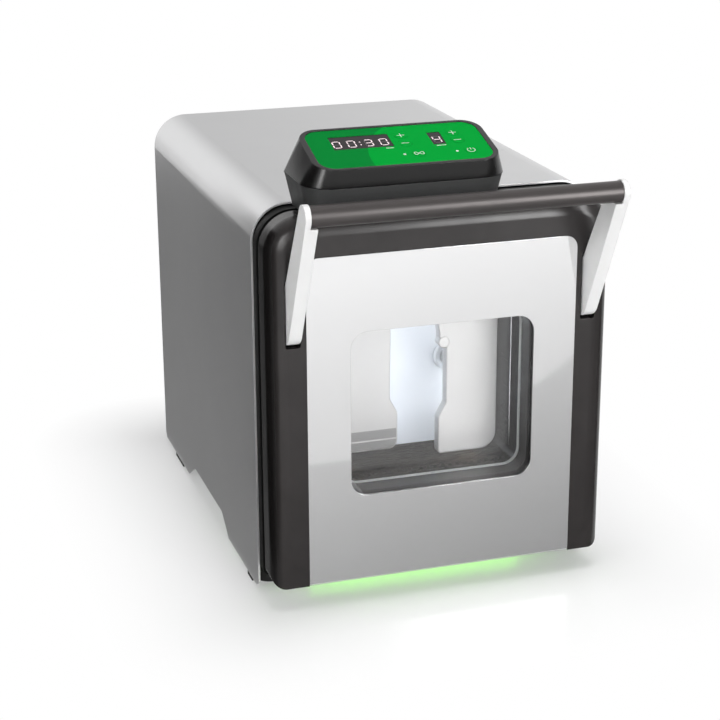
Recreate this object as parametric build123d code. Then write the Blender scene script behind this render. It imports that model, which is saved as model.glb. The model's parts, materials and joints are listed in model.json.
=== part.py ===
"""Paddle blender homogenizer: a bench machine that beats a sample bag between a door and two paddles.

Frame: +X to the right, +Y to the rear, +Z up, millimetres. The origin lies on the bench, at the middle
of the machine's width and depth. Depths are written as distances behind the face plate of the door.
"""
from build123d import *
from math import cos, pi, radians, sin, tan
import os

os.makedirs("parts", exist_ok=True)

# ------------------------------------------------------------------ driving dimensions: casing
CASE_WIDTH = 260.0
CASE_TOP = 296.0
CASE_CORNER = 27.0            # radius of the bends between the top and the sides
CASE_FRONT = 39.2             # depth of the casing's front edge
CASE_REAR = 369.2
SHEET = 1.5
SOLE = 3.0                    # the casing sheet stands this far above the bench
ARCH_TOP = 17.5               # height of the arches under the casing's sides
ARCH_NEAR, ARCH_FAR = 133.0, 273.0
ARCH_ROUNDING = 12.0

BASE_NEAR = 54.2
BASE_LOW, BASE_HIGH = 18.0, 20.0
BASE_FLANGE = 34.0            # height of the base plate's turned-up sides
PANEL_NEAR, PANEL_THICK = 362.6, 2.0
LOUVRE = (56.0, 3.6)
VENT_SLOT = (44.0, 5.0)
FEET = ((66.0, 14.0, 6.6), (313.5, 17.0, 14.5))   # depth, radius and half the length of the lip
FOOT_X = 114.0

# ------------------------------------------------------------------ driving dimensions: mains side
INLET_X, INLET_Z = -80.0, 62.0
PIN_TIP = PANEL_NEAR - 3.0
ROCKER_Z = 98.0
ROCKER_PIVOT = (PANEL_NEAR - 2.0, ROCKER_Z)
ROCKER_THROW = 12.0           # degrees between the rocker's two stops
ROCKER_HALF = 10.7
TRUNNION_RADIUS, TRUNNION_REACH = 1.6, 12.0

# ------------------------------------------------------------------ driving dimensions: door and frame
DOOR_HALF = 128.5
DOOR_LOW, DOOR_TOP = 18.0, 293.5
DOOR_FRONT, DOOR_SPLIT, DOOR_BACK = 0.3, 24.0, 28.0
DOOR_ROUNDING = 11.0          # soft front edge of the door's sides and top
DOOR_WALL = 4.0
TOP_CORNER = 26.0
LOW_CORNER = 9.5
FRAME_LOW_CORNER = 5.0
PLATE_HALF = 101.4
PLATE_TOP = 264.7
PLATE_CORNER = 9.0
PLATE_THICK = 2.0
PLATE_FOLD = 10.0             # the face plate reaches this far under the door
WINDOW_HALF = 69.4
WINDOW_LOW, WINDOW_TOP = 84.5, 208.5
WINDOW_CORNER = 12.5
PANE_RIM, GASKET_RIM = 3.5, 6.0   # the rear pane and its gasket reach this far beyond the window
GASKET_LIP = 0.6              # how far the gasket's lip shows inside the window
CLAMP_Z = 262.0               # height of the strip that holds the bag's neck

DOOR_PIVOT = (14.0, 27.0)     # depth and height of the door's hinge axis
HINGE_PIN, HINGE_LUG = 3.0, 8.0
LUG_LEFT, LUG_RIGHT = 84.0, 96.0
FRAME_FRONT, FRAME_BACK = 29.0, 39.2
FRAME_RIM = 54.0              # depth of the rim that goes inside the casing
STRIKER = (44.0, 210.5)       # depth and height of the latch pins

# ------------------------------------------------------------------ driving dimensions: handle
HANDLE_REACH = 52.4           # how far the handle stands out before the face plate
BAR_RADIUS, BAR_WALL = 7.5, 2.0
BAR_HEIGHT = 306.0
BAR_DEPTH = -44.0
BAR_END = 111.6
LEVER_PIVOT = (8.0, 219.0)    # depth and height of the handle's pivot
LEVER_PIN = 2.5
LEVER_X = 111.05              # middle of each lever arm
LEVER_WIDTH = 9.3
ARM_CAP = 8.4                 # radius of the arm's upper end, round the bar
ARM_FOOT = 16.5               # radius of its lower end, round the pivot
ARM_BOSS = 11.0
ARM_KINK = 249.0              # height where the arm leaves the door's pocket
ARM_STEP = 8.0
CAP_REAR = 27.0               # degrees above the level at which the rear edge meets the cap
HOOK_SLOT = 1.6               # half the width of the slot that takes the hook
POCKET_WIDTH = 11.0
POCKET_LOW, POCKET_TOP = 201.0, 251.0
SPRING_LOW, SPRING_TOP = 227.8, 250.9
SPRING_RADIUS, SPRING_BORE, SPRING_DEPTH = 3.8, 2.8, 19.0

# ------------------------------------------------------------------ driving dimensions: chamber and drive
CHAMBER_HALF = 74.0
CHAMBER_LOW, CHAMBER_TOP = 81.0, 247.0
CHAMBER_REAR = 92.0
LINER = 1.2
TRAY_HALF = 67.8
TRAY_SLOTS, TRAY_PITCH, TRAY_SLOT = 23, 5.8, 3.0

PADDLE_NEAR = 46.0            # depth of the forward paddle's face
PADDLE_LOW, PADDLE_TOP = 91.0, 222.0
PADDLE_OUTER = 59.0
PADDLE_WAIST, PADDLE_TOE = 18.4, 12.4   # the inner edge's x at the waist and below it
PADDLE_THICK = 8.0
STROKE = 21.0
ROD_X, ROD_Z = 36.0, 153.0
ROD_RADIUS, SPIGOT_RADIUS = 7.0, 4.0
SEAL_BORE, SEAL_FLANGE = 10.0, 11.5
CRANK_DEPTH = 172.0
SWING = 120.0                 # degrees of the crank between the two ends of the stroke
CRANK_THROW = STROKE / 2 / sin(radians(SWING / 2))
SHAFT_RADIUS = 8.0
DISC_RADIUS = 21.0
DISC_NEAR, DISC_FAR = 30.0, 42.0
RING_RADIUS = 26.0
YOKE_PLAY = 1.2
YOKE_WIDTH = 14.0
GUIDE_NEAR, GUIDE_FAR = CHAMBER_REAR + 1.4, 121.0
BEARING_RADIUS = 16.0
STAND_LEFT, STAND_RIGHT = 62.0, 74.0

PULLEY_LEFT, PULLEY_RIGHT = 92.0, 108.0
DRIVEN_RADIUS, MOTOR_PULLEY_RADIUS = 42.0, 14.0
FLANGE_RISE = 3.5
BELT_GAP, BELT_THICK = 0.3, 2.0
MOTOR_DEPTH, MOTOR_Z = 290.0, 74.0
MOTOR_RADIUS, MOTOR_SHAFT = 42.0, 6.0
MOTOR_LEFT, MOTOR_RIGHT = -66.0, 58.0
MOTOR_NOSE = 20.0

# ------------------------------------------------------------------ driving dimensions: control unit
UNIT_X = -34.0                # middle of the control unit
UNIT_BELT = 319.0             # height of the parting line round the control unit
UNIT_WALL = 3.0
LABEL_TILT = 16.5
LABEL_FRONT = (-25.5, 332.0)  # depth and height of the label's front edge
LABEL_WIDTH, LABEL_LENGTH = 124.0, 53.0
LABEL_CORNER = 11.0
LABEL_THICK = 0.8
KEY_RADIUS, KEY_RISE = 4.6, 0.1
DISPLAY_RISE = -0.25
CABLE_DUCT = (-60.0, -8.0)    # left and right of the slot that the wiring comes up through
DISPLAYS = {"time_display": (-24.8, 34.5, 42.5, 18.0), "speed_display": (29.0, 32.6, 9.4, 17.4)}
KEYS = {"time_up_key": (5.2, 39.8), "time_down_key": (5.2, 28.6), "speed_up_key": (42.8, 38.8),
        "speed_down_key": (43.0, 28.2), "continuous_key": (10.2, 13.3), "power_key": (47.6, 12.8)}

FIT = 0.05                    # radial play of shafts in their bores
FRONT = (HANDLE_REACH - CASE_REAR) / 2    # y of the face plate


# ------------------------------------------------------------------ helpers
def slab_x(outline, left, right):
    """A sketch of (depth, height) drawn out along X."""
    return extrude(Plane.YZ.offset(left) * Pos(FRONT, 0) * outline, right - left)


def slab_y(outline, near, far):
    """A sketch of (x, height) drawn out between two depths."""
    return extrude(Plane.XZ.offset(-(FRONT + far)) * outline, far - near)


def slab_z(outline, low, high):
    """A sketch of (x, depth) drawn out along Z."""
    return extrude(Plane.XY.offset(low) * Pos(0, FRONT) * outline, high - low)


def block(x0, x1, near, far, low, high):
    """A plain block between two x, two depths and two heights."""
    middle = Pos((x0 + x1) / 2, FRONT + (near + far) / 2, (low + high) / 2)
    return middle * Box(abs(x1 - x0), far - near, high - low)


def pin_x(radius, left, right, depth, height):
    """A round pin along X."""
    return slab_x(Pos(depth, height) * Circle(radius), left, right)


def pin_y(radius, near, far, x, height):
    """A round pin along Y."""
    return slab_y(Pos(x, height) * Circle(radius), near, far)


def pin_z(radius, low, high, x, depth):
    """An upright round pin."""
    return slab_z(Pos(x, depth) * Circle(radius), low, high)


def panel(half, low, high, top_radius, low_radius=None):
    """A sketch of an upright panel, symmetric about x = 0, with round corners."""
    sketch = Pos(0, (low + high) / 2) * Rectangle(2 * half, high - low)
    if low_radius is None:
        return fillet(sketch.vertices(), top_radius)
    sketch = fillet(sketch.vertices().group_by(Axis.Y)[-1], top_radius)
    if low_radius:
        sketch = fillet(sketch.vertices().group_by(Axis.Y)[0], low_radius)
    return sketch


def polygon(*points):
    """A flat face with straight sides."""
    return make_face(Polyline(*points, close=True))


def hull(*circles):
    """The band that wraps circles, each given as centre and radius."""
    return make_hull([(Pos(*centre) * CenterArc((0, 0), radius, 0, 360)).edge() for centre, radius in circles])


def both(shape):
    """A piece and its mirror image on the other side."""
    return [shape, mirror(shape, about=Plane.YZ)]


def sided(shape, side):
    """A piece drawn for the right: as it is there, or mirrored for the left (side -1)."""
    return shape if side > 0 else mirror(shape, about=Plane.YZ)


def without(shape, cuts):
    """A shape less every one of these."""
    for cut in cuts:
        shape -= cut
    return shape


def joined(pieces):
    """Several separate solids that share one node."""
    return Compound(children=list(pieces))


# ------------------------------------------------------------------ casing and chassis
def casing_section(inset):
    """The arch-shaped outline of the casing, open below."""
    half = CASE_WIDTH / 2 - inset
    low = SOLE if inset == 0 else 0
    sketch = Pos(0, (low + CASE_TOP - inset) / 2) * Rectangle(2 * half, CASE_TOP - inset - low)
    return fillet(sketch.vertices().group_by(Axis.Y)[-1], CASE_CORNER - inset)


def make_outer_cover():
    """One bent sheet over the top and both sides, with an arch cut under each side."""
    cover = slab_y(casing_section(0) - casing_section(SHEET), CASE_FRONT, CASE_REAR)
    under = SOLE - 6
    arch = polygon((ARCH_NEAR - 2, under), (ARCH_NEAR, SOLE), (ARCH_NEAR + 20.5, ARCH_TOP),
                   (ARCH_FAR - 22.5, ARCH_TOP), (ARCH_FAR, SOLE + 1), (ARCH_FAR + 1, under))
    arch = fillet(arch.vertices().group_by(Axis.Y)[-1], ARCH_ROUNDING)
    front_cut = polygon((CASE_FRONT - 1, SOLE + 6), (CASE_FRONT, SOLE + 5), (CASE_FRONT + 6.8, SOLE),
                        (CASE_FRONT + 7.8, under), (CASE_FRONT - 9, under))
    rear_cut = polygon((CASE_REAR - 4, SOLE), (CASE_REAR, SOLE + 4), (CASE_REAR + 2, SOLE + 4),
                       (CASE_REAR + 2, under), (CASE_REAR - 4, under))
    return without(cover, [slab_x(cut, -CASE_WIDTH, CASE_WIDTH) for cut in (arch, front_cut, rear_cut)])


def make_base_plate():
    """The chassis tray between the casing's sides, with cooling slots under the motor."""
    half = CASE_WIDTH / 2 - SHEET - 0.1
    far = PANEL_NEAR - 0.1
    plate = block(-half, half, BASE_NEAR, far, BASE_LOW, BASE_HIGH)
    for side in both(block(half - SHEET, half, BASE_NEAR, far, BASE_HIGH, BASE_FLANGE)):
        plate += side
    slot = SlotOverall(*VENT_SLOT)
    spots = [(column, 236 + 12 * row) for column in (-66, 0, 66) for row in range(6)]
    return without(plate, [slab_z(Pos(*spot) * slot, BASE_LOW - 1, BASE_HIGH + 1) for spot in spots])


def make_rubber_feet():
    """Four feet: each a round pad under the base plate, with a lip under the edge of the casing."""
    inner_wall = CASE_WIDTH / 2 - SHEET - 0.1
    feet = []
    for depth, radius, lip in FEET:
        foot = pin_z(radius, 0, BASE_LOW, FOOT_X, depth)
        foot = chamfer(foot.edges().group_by(Axis.Z)[0], 1)
        foot &= block(FOOT_X - 34, inner_wall, depth - 40, depth + 40, -1, 40)
        foot += block(FOOT_X + 2, CASE_WIDTH / 2, depth - lip, depth + lip, 0, SOLE - 0.1)
        feet += both(foot)
    return joined(feet)


def make_rear_panel():
    """The flat rear wall with two banks of louvres and the cut-out of the mains module."""
    half = CASE_WIDTH / 2 - SHEET - 0.2
    outline = panel(half, SOLE + 6, CASE_TOP - SHEET - 0.2, CASE_CORNER - SHEET, 3)
    near, far = PANEL_NEAR - 1, PANEL_NEAR + PANEL_THICK + 1
    plate = slab_y(outline, PANEL_NEAR, PANEL_NEAR + PANEL_THICK)
    spots = [(column, 150 + 11 * row) for column in (-6, 64) for row in range(9)]
    plate = without(plate, [slab_y(Pos(*spot) * SlotOverall(*LOUVRE), near, far) for spot in spots])
    plate -= block(INLET_X - 24, INLET_X + 24, near, far, INLET_Z - 13, INLET_Z + 13)
    return plate - block(INLET_X - 13.2, INLET_X + 13.2, near, far, INLET_Z, ROCKER_Z + 10.2)


def make_rear_screws():
    """Socket-headed screws round the edge of the rear panel."""
    face = PANEL_NEAR + PANEL_THICK
    spots = [(x, z) for x in (-112, 112) for z in (26, 120, 214)] + [(-60, 284), (60, 284)]
    screws = []
    for spot in spots:
        head = pin_y(4, face, face + 2, *spot)
        head = chamfer(head.edges().group_by(Axis.Y)[-1], 0.8)
        screws.append(head - pin_y(1.6, face + 1, face + 3, *spot))
    return joined(screws)


# ------------------------------------------------------------------ mains side
def make_power_inlet():
    """One moulded module: a mains socket with three blades, and above it the well of the rocker switch."""
    face = PANEL_NEAR + PANEL_THICK
    body = block(INLET_X - 23.5, INLET_X + 23.5, face - 24, face + 0.1, INLET_Z - 12.5, INLET_Z + 12.5)
    body += slab_y(Pos(INLET_X, INLET_Z) * RectangleRounded(52, 30, 4), face, face + 2.4)
    mouth = polygon((-12.2, -8), (12.2, -8), (12.2, 3.5), (7.7, 8), (-7.7, 8), (-12.2, 3.5))
    body -= slab_y(Pos(INLET_X, INLET_Z) * mouth, face - 18, face + 3)
    for x, z in ((-7, -3), (7, -3), (0, 1.5)):
        body += block(INLET_X + x - 1, INLET_X + x + 1, face - 20, PIN_TIP, INLET_Z + z - 2, INLET_Z + z + 2)
    body += block(INLET_X - 13, INLET_X + 13, face - 18, face + 0.1, INLET_Z + 12, ROCKER_Z + 10)
    body += slab_y(Pos(INLET_X, ROCKER_Z) * RectangleRounded(31, 25, 2.5), face, face + 2)
    body -= block(INLET_X - 11, INLET_X + 11, face - 15, face + 3, ROCKER_Z - 8, ROCKER_Z + 8)
    seat = TRUNNION_REACH + 0.1
    return body - pin_x(TRUNNION_RADIUS + FIT, INLET_X - seat, INLET_X + seat, *ROCKER_PIVOT)


def make_mains_rocker():
    """A seesaw key whose two faces meet in a shallow valley, stored with its upper half pressed."""
    depth, height = ROCKER_PIVOT
    tip = PANEL_NEAR + 4.6 + 6.6 * tan(radians(ROCKER_THROW / 2))
    outline = polygon((depth - 3, height - 6.6), (tip, height - 6.9), (PANEL_NEAR + 3.4, height),
                      (tip, height + 6.9), (depth - 3, height + 6.6))
    key = slab_x(outline, INLET_X - ROCKER_HALF, INLET_X + ROCKER_HALF)
    axle = Pos(0, FRONT + depth, height)
    key = axle * Rot(ROCKER_THROW / 2, 0, 0) * axle.inverse() * key
    return key + pin_x(TRUNNION_RADIUS, INLET_X - TRUNNION_REACH, INLET_X + TRUNNION_REACH, depth, height)


def make_power_supply():
    """The boxed supply on the chassis, with cooling fins on its lid."""
    body = block(-122, -84, 226, 332, BASE_HIGH, 84)
    return without(body, [block(-116, -90, 232 + 12.5 * row, 238 + 12.5 * row, 80, 90) for row in range(8)])


# ------------------------------------------------------------------ fixed front frame and chamber
def hook_windows(near, far):
    """The openings in the front frame through which the two latch hooks pass."""
    return both(slab_y(Pos(LEVER_X, 236) * RectangleRounded(10, 60, 2.5), near, far))


def striker_pair():
    """The two fixed pins that the hooks catch, across their windows."""
    return both(pin_x(3, LEVER_X - 8, LEVER_X + 8, *STRIKER))


def make_front_frame():
    """The moulded frame behind the door: its rim goes inside the casing, its lugs carry the door."""
    outline = panel(DOOR_HALF, DOOR_LOW, DOOR_TOP, TOP_CORNER, FRAME_LOW_CORNER)
    frame = slab_y(outline, FRAME_FRONT, FRAME_BACK)
    rim = panel(DOOR_HALF - 0.4, DOOR_LOW + 2.2, DOOR_TOP - 0.2, TOP_CORNER - 0.2, FRAME_LOW_CORNER)
    rim -= panel(DOOR_HALF - 4.4, DOOR_LOW + 6.2, DOOR_TOP - 4.2, TOP_CORNER - 4.2, FRAME_LOW_CORNER - 4)
    frame += slab_y(rim, FRAME_BACK, FRAME_RIM)
    for side in both(block(LEVER_X - 11, LEVER_X + 10, FRAME_BACK, FRAME_RIM - 2, 196, 276)):
        frame += side
    opening = panel(CHAMBER_HALF + 1.4, CHAMBER_LOW - 1.4, CHAMBER_TOP + 1.4, 7)
    frame -= slab_y(opening, FRAME_FRONT - 1, FRAME_BACK + 1)
    frame = without(frame, hook_windows(FRAME_FRONT - 1, FRAME_RIM + 2) + striker_pair())
    left, right = CABLE_DUCT
    frame += block(left - 32, right + 32, 31, 38.6, DOOR_TOP - 1, CASE_TOP)
    frame -= block(left, right, 33, 36.6, 250, CASE_TOP + 1)
    depth, height = DOOR_PIVOT
    lug = Pos(depth, height) * Circle(HINGE_LUG) + Pos(depth + 8, height) * Rectangle(16, 13)
    for side in both(slab_x(lug, LUG_LEFT, LUG_RIGHT)):
        frame += side
    return without(frame, both(pin_x(HINGE_PIN, LUG_LEFT - 4, LUG_RIGHT + 4, *DOOR_PIVOT)))


def make_striker_pins():
    return joined(striker_pair())


def make_hinge_pins():
    return joined(both(pin_x(HINGE_PIN, LUG_LEFT - 8, LUG_RIGHT + 8, *DOOR_PIVOT)))


def make_chamber_liner():
    """A deep-drawn steel tub, open to the front, with a flange behind the front frame."""
    inside = panel(CHAMBER_HALF, CHAMBER_LOW, CHAMBER_TOP, 6)
    outside = panel(CHAMBER_HALF + LINER, CHAMBER_LOW - LINER, CHAMBER_TOP + LINER, 6 + LINER)
    flange = panel(CHAMBER_HALF + 12, CHAMBER_LOW - 12, CHAMBER_TOP + 12, 10)
    tub = slab_y(outside, FRAME_FRONT + 1, CHAMBER_REAR + LINER) - slab_y(inside, FRAME_FRONT, CHAMBER_REAR)
    tub += slab_y(flange - outside, FRAME_BACK + 0.1, FRAME_BACK + 0.1 + LINER)
    return without(tub, both(pin_y(SEAL_BORE, CHAMBER_REAR - 1, CHAMBER_REAR + 3, ROD_X, ROD_Z)))


def make_chamber_shield():
    """The bright sheet that lines the chamber's rear wall, with a hole round each rod seal."""
    outline = panel(CHAMBER_HALF - 0.3, CHAMBER_LOW + 0.3, CHAMBER_TOP - 0.3, 5.7)
    sheet = slab_y(outline, CHAMBER_REAR - 1, CHAMBER_REAR)
    return without(sheet, both(pin_y(SEAL_FLANGE + 0.2, CHAMBER_REAR - 2, CHAMBER_REAR + 1, ROD_X, ROD_Z)))


def make_drip_tray():
    """A shallow tray on the chamber floor, with a slotted lip along its front."""
    low = CHAMBER_LOW + 0.1
    inner = TRAY_HALF - 1.2
    tray = block(-TRAY_HALF, TRAY_HALF, 33, 90, low, low + 3.4)
    tray -= block(-inner, inner, 42, 88.8, low + 1, low + 5)
    tray -= block(-inner, inner, 34.2, 40.6, low + 1, low + 5)
    first = -TRAY_PITCH * (TRAY_SLOTS - 1) / 2
    spots = [first + TRAY_PITCH * step for step in range(TRAY_SLOTS)]
    half = TRAY_SLOT / 2
    return without(tray, [block(x - half, x + half, 40, 43, low + 1.6, low + 5) for x in spots])


# ------------------------------------------------------------------ door
def window_opening(near, far, grow=0.0):
    """The window's outline between two depths, made larger all round by grow."""
    outline = panel(WINDOW_HALF + grow, WINDOW_LOW - grow, WINDOW_TOP + grow, WINDOW_CORNER + grow)
    return slab_y(outline, near, far)


def lever_pockets(near, far):
    """The two slots through the door that the lever arms stand in."""
    outline = RectangleRounded(POCKET_WIDTH, POCKET_TOP - POCKET_LOW, 1.5)
    return both(slab_y(Pos(LEVER_X, (POCKET_LOW + POCKET_TOP) / 2) * outline, near, far))


def lever_pin_pair():
    return both(pin_x(LEVER_PIN, LEVER_X - 9, LEVER_X + 9, *LEVER_PIVOT))


def hinge_notches():
    """Room for the frame's two lugs, which sweep from the rear to straight down as the door opens."""
    depth, height = DOOR_PIVOT
    room = Pos(depth, height) * Circle(HINGE_LUG + 0.8) + Pos(depth + 10, height - 4.6) * Rectangle(20, 22.8)
    room += Pos(depth, height - 8) * Rectangle(2 * HINGE_LUG + 1.6, 16)
    return both(slab_x(room, LUG_LEFT - 0.7, LUG_RIGHT + 0.7))


def door_shell():
    """The door's outer form: softly rounded round its sides and top, cut square along its foot."""
    run_out = 2 * DOOR_ROUNDING
    soft = slab_y(panel(DOOR_HALF, DOOR_LOW - run_out, DOOR_TOP, TOP_CORNER, LOW_CORNER), DOOR_FRONT, DOOR_SPLIT)
    soft = fillet(soft.edges().group_by(Axis.Y)[0], DOOR_ROUNDING)
    return soft & slab_y(panel(DOOR_HALF, DOOR_LOW, DOOR_TOP, TOP_CORNER, LOW_CORNER), 0, DOOR_SPLIT)


def make_door_frame():
    """The door's moulded shell, hollow behind, with bosses round the pockets and the hinges."""
    inner_radius = TOP_CORNER - DOOR_WALL, LOW_CORNER - DOOR_WALL
    hollow = panel(DOOR_HALF - DOOR_WALL, DOOR_LOW + DOOR_WALL, DOOR_TOP - DOOR_WALL, *inner_radius)
    hollow = slab_y(hollow, 7, DOOR_SPLIT + 1) - window_opening(6, DOOR_SPLIT + 2, 8)
    hollow = without(hollow, both(block(LEVER_X - 10, LEVER_X + 10, 6, DOOR_SPLIT + 2, 190, 262)))
    hollow = without(hollow, both(block(LUG_LEFT - 10, LUG_RIGHT + 10, 6, DOOR_SPLIT + 2, DOOR_LOW, 46)))
    frame = door_shell() - hollow - window_opening(0, DOOR_SPLIT + 1)
    seat = panel(PLATE_HALF + 0.1, DOOR_LOW - 20, PLATE_TOP + 0.1, PLATE_CORNER, 0)
    frame -= slab_y(seat, -1, PLATE_THICK + 0.05)
    fold = PLATE_THICK + 0.05
    frame -= block(-PLATE_HALF - 0.1, PLATE_HALF + 0.1, -1, PLATE_FOLD + 0.1, DOOR_LOW - 1, DOOR_LOW + fold)
    frame = without(frame, lever_pockets(-1, DOOR_SPLIT + 1) + hinge_notches() + lever_pin_pair())
    return without(frame, both(pin_x(HINGE_PIN + FIT, LUG_LEFT - 10, LUG_RIGHT + 10, *DOOR_PIVOT)))


def make_door_face_plate():
    """The bright sheet on the door, folded back under its lower edge."""
    plate = slab_y(panel(PLATE_HALF, DOOR_LOW, PLATE_TOP, PLATE_CORNER, 0), 0, PLATE_THICK)
    plate += block(-PLATE_HALF, PLATE_HALF, 0, PLATE_FOLD, DOOR_LOW, DOOR_LOW + PLATE_THICK)
    bend = plate.edges().filter_by(Axis.X).group_by(Axis.Z)[0].group_by(Axis.Y)[0]
    plate = fillet(bend, 1.9) - window_opening(-1, PLATE_THICK + 1)
    notch = block(LUG_LEFT - 0.7, LUG_RIGHT + 0.7, 4.9, PLATE_FOLD + 2, DOOR_LOW - 1, DOOR_LOW + 3)
    return without(plate, both(notch))


def make_door_inner_panel():
    """The flat back of the door, which takes the rear pane and the bag grip."""
    outline = panel(DOOR_HALF - 1, DOOR_LOW + 16, DOOR_TOP - 1.5, TOP_CORNER - 1, 12)
    plate = slab_y(outline, DOOR_SPLIT, DOOR_BACK) - window_opening(DOOR_SPLIT - 1, DOOR_BACK + 1, GASKET_RIM + 0.1)
    plate = without(plate, lever_pockets(DOOR_SPLIT - 1, DOOR_BACK + 1))
    return plate - slab_y(Pos(0, CLAMP_Z) * RectangleRounded(164, 8.2, 2), DOOR_BACK - 1.5, DOOR_BACK + 1)


def make_window_panes():
    """A thin pane behind the face plate, and a thick one that the bag is beaten against."""
    thin = window_opening(PLATE_THICK + 0.1, PLATE_THICK + 3.1, -0.1)
    return joined([thin, window_opening(DOOR_SPLIT + 0.1, DOOR_BACK, PANE_RIM)])


def make_pane_gasket():
    """The pale gasket round the rear pane, with a lip that shows all round inside the window."""
    ring = window_opening(DOOR_SPLIT, DOOR_BACK, GASKET_RIM) - window_opening(DOOR_SPLIT - 1, DOOR_BACK, PANE_RIM + 0.1)
    lip = window_opening(DOOR_BACK, DOOR_BACK + 0.5, GASKET_RIM)
    return ring + (lip - window_opening(DOOR_BACK - 1, DOOR_BACK + 1, -GASKET_LIP))


def make_bag_grip():
    """The rubber strip across the door that holds the neck of the bag against the front frame."""
    strip = slab_y(Pos(0, CLAMP_Z) * RectangleRounded(163.6, 7.8, 1.9), DOOR_BACK - 1.5, DOOR_BACK + 0.6)
    rows = [CLAMP_Z + row for row in (-2.2, 0, 2.2)]
    return without(strip, [block(-79, 79, DOOR_BACK, DOOR_BACK + 1, z - 0.5, z + 0.5) for z in rows])


def make_panel_screws():
    """Flat-headed screws that hold the inner panel."""
    spots = [(x, z) for x in (-118, 118) for z in (70, 150, 276)] + [(x, 281) for x in (-50, 50)] + [(0, 60)]
    heads = [pin_y(3.4, DOOR_BACK, DOOR_BACK + 0.7, *spot) for spot in spots]
    return joined([chamfer(head.edges().group_by(Axis.Y)[-1], 0.4) for head in heads])


def make_lever_pivots():
    return joined(lever_pin_pair())


def make_latch_springs():
    """The two springs that press the hooks down, each as a plain sleeve of the coil's size."""
    sleeve = pin_z(SPRING_RADIUS, SPRING_LOW, SPRING_TOP, LEVER_X, SPRING_DEPTH)
    return joined(both(sleeve - pin_z(SPRING_BORE, SPRING_LOW - 1, SPRING_TOP + 1, LEVER_X, SPRING_DEPTH)))


# ------------------------------------------------------------------ handle
def arm_outline():
    """The arm in profile: round about its pivot and about the bar, its front edge tangent to both."""
    bar = BAR_DEPTH, BAR_HEIGHT
    turn = radians(CAP_REAR)
    on_cap = BAR_DEPTH + ARM_CAP * cos(turn), BAR_HEIGHT + ARM_CAP * sin(turn)
    pocket_rear = LEVER_PIVOT[0]
    clear = 40
    behind = polygon((pocket_rear, LEVER_PIVOT[1] - clear), (pocket_rear, ARM_KINK - ARM_STEP), (0, ARM_KINK),
                     on_cap, (clear, BAR_HEIGHT + clear), (clear, LEVER_PIVOT[1] - clear))
    arm = hull((bar, ARM_CAP), (LEVER_PIVOT, ARM_FOOT)) - behind
    return arm + Pos(*bar) * Circle(ARM_CAP) + Pos(*LEVER_PIVOT) * Circle(ARM_BOSS)


def make_lever_arm(side):
    """One white arm: its outer cheek caps the bar's end, its inner half steps under the bar."""
    inner = LEVER_X - LEVER_WIDTH / 2
    outer = LEVER_X + LEVER_WIDTH / 2
    arm = slab_x(arm_outline(), inner, outer)
    step_low = BAR_HEIGHT - BAR_RADIUS
    arm -= block(inner - 1, BAR_END, BAR_DEPTH - 20, BAR_DEPTH + 30, step_low, BAR_HEIGHT + 20)
    arm -= slab_x(Pos(*LEVER_PIVOT) * Circle(LEVER_PIN + FIT), inner - 1, outer + 1)
    slot = Pos(LEVER_PIVOT[0] + 3, LEVER_PIVOT[1]) * Rectangle(25, 24)
    return sided(arm - slab_x(slot, LEVER_X - HOOK_SLOT, LEVER_X + HOOK_SLOT), side)


def make_handle_bar():
    """The tube between the two arms."""
    end = BAR_END - 0.05
    tube = pin_x(BAR_RADIUS, -end, end, BAR_DEPTH, BAR_HEIGHT)
    return tube - pin_x(BAR_RADIUS - BAR_WALL, -BAR_END, BAR_END, BAR_DEPTH, BAR_HEIGHT)


def make_latch_hook(side):
    """A steel hook in the arm's slot: it reaches to the rear over a fixed pin, its nose down behind it."""
    depth, height = LEVER_PIVOT
    tip, top = STRIKER[0] + 9, STRIKER[1] + 12
    outline = polygon((depth, height - 8), (tip - 5, STRIKER[1] + 3.4), (tip - 5, STRIKER[1] - 3),
                      (tip - 2, STRIKER[1] - 4), (tip, STRIKER[1] - 1.5), (tip, top - 4), (tip - 5, top),
                      (depth, height + 8))
    outline += Pos(*LEVER_PIVOT) * Circle(8)
    hook = slab_x(outline, LEVER_X - HOOK_SLOT + 0.1, LEVER_X + HOOK_SLOT - 0.1)
    return sided(hook - pin_x(LEVER_PIN + FIT, LEVER_X - 5, LEVER_X + 5, *LEVER_PIVOT), side)


# ------------------------------------------------------------------ paddles and their drive
def paddle_face(side):
    """Depth of a paddle's face: the right one is stored forward, the left one back."""
    return PADDLE_NEAR if side > 0 else PADDLE_NEAR + STROKE


def rounded_near(sketch, corner, radius):
    """Rounds the sketch's corner that lies nearest to this point."""
    return fillet(sketch.vertices().sort_by_distance(corner)[0], radius)


def paddle_outline(side):
    """A paddle from the front: waisted at its inner edge; the right one flares again above its locking stud."""
    corners = [(PADDLE_TOE, PADDLE_LOW), (PADDLE_OUTER, PADDLE_LOW), (PADDLE_OUTER, PADDLE_TOP)]
    if side > 0:
        corners += [(5, PADDLE_TOP), (13, 186), (13, 179), (PADDLE_WAIST, 174)]
    else:
        corners += [(PADDLE_WAIST - 1, PADDLE_TOP)]
    corners += [(PADDLE_WAIST, 131), (PADDLE_TOE, 120)]
    outline = polygon(*corners)
    roundings = {(PADDLE_OUTER, PADDLE_LOW): 13, (PADDLE_OUTER, PADDLE_TOP): 13, (PADDLE_WAIST, 131): 4,
                 (PADDLE_TOE, 120): 4, (PADDLE_TOE, PADDLE_LOW): 3 if side > 0 else 7}
    for corner, radius in roundings.items():
        outline = rounded_near(outline, corner, radius)
    return outline


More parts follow.
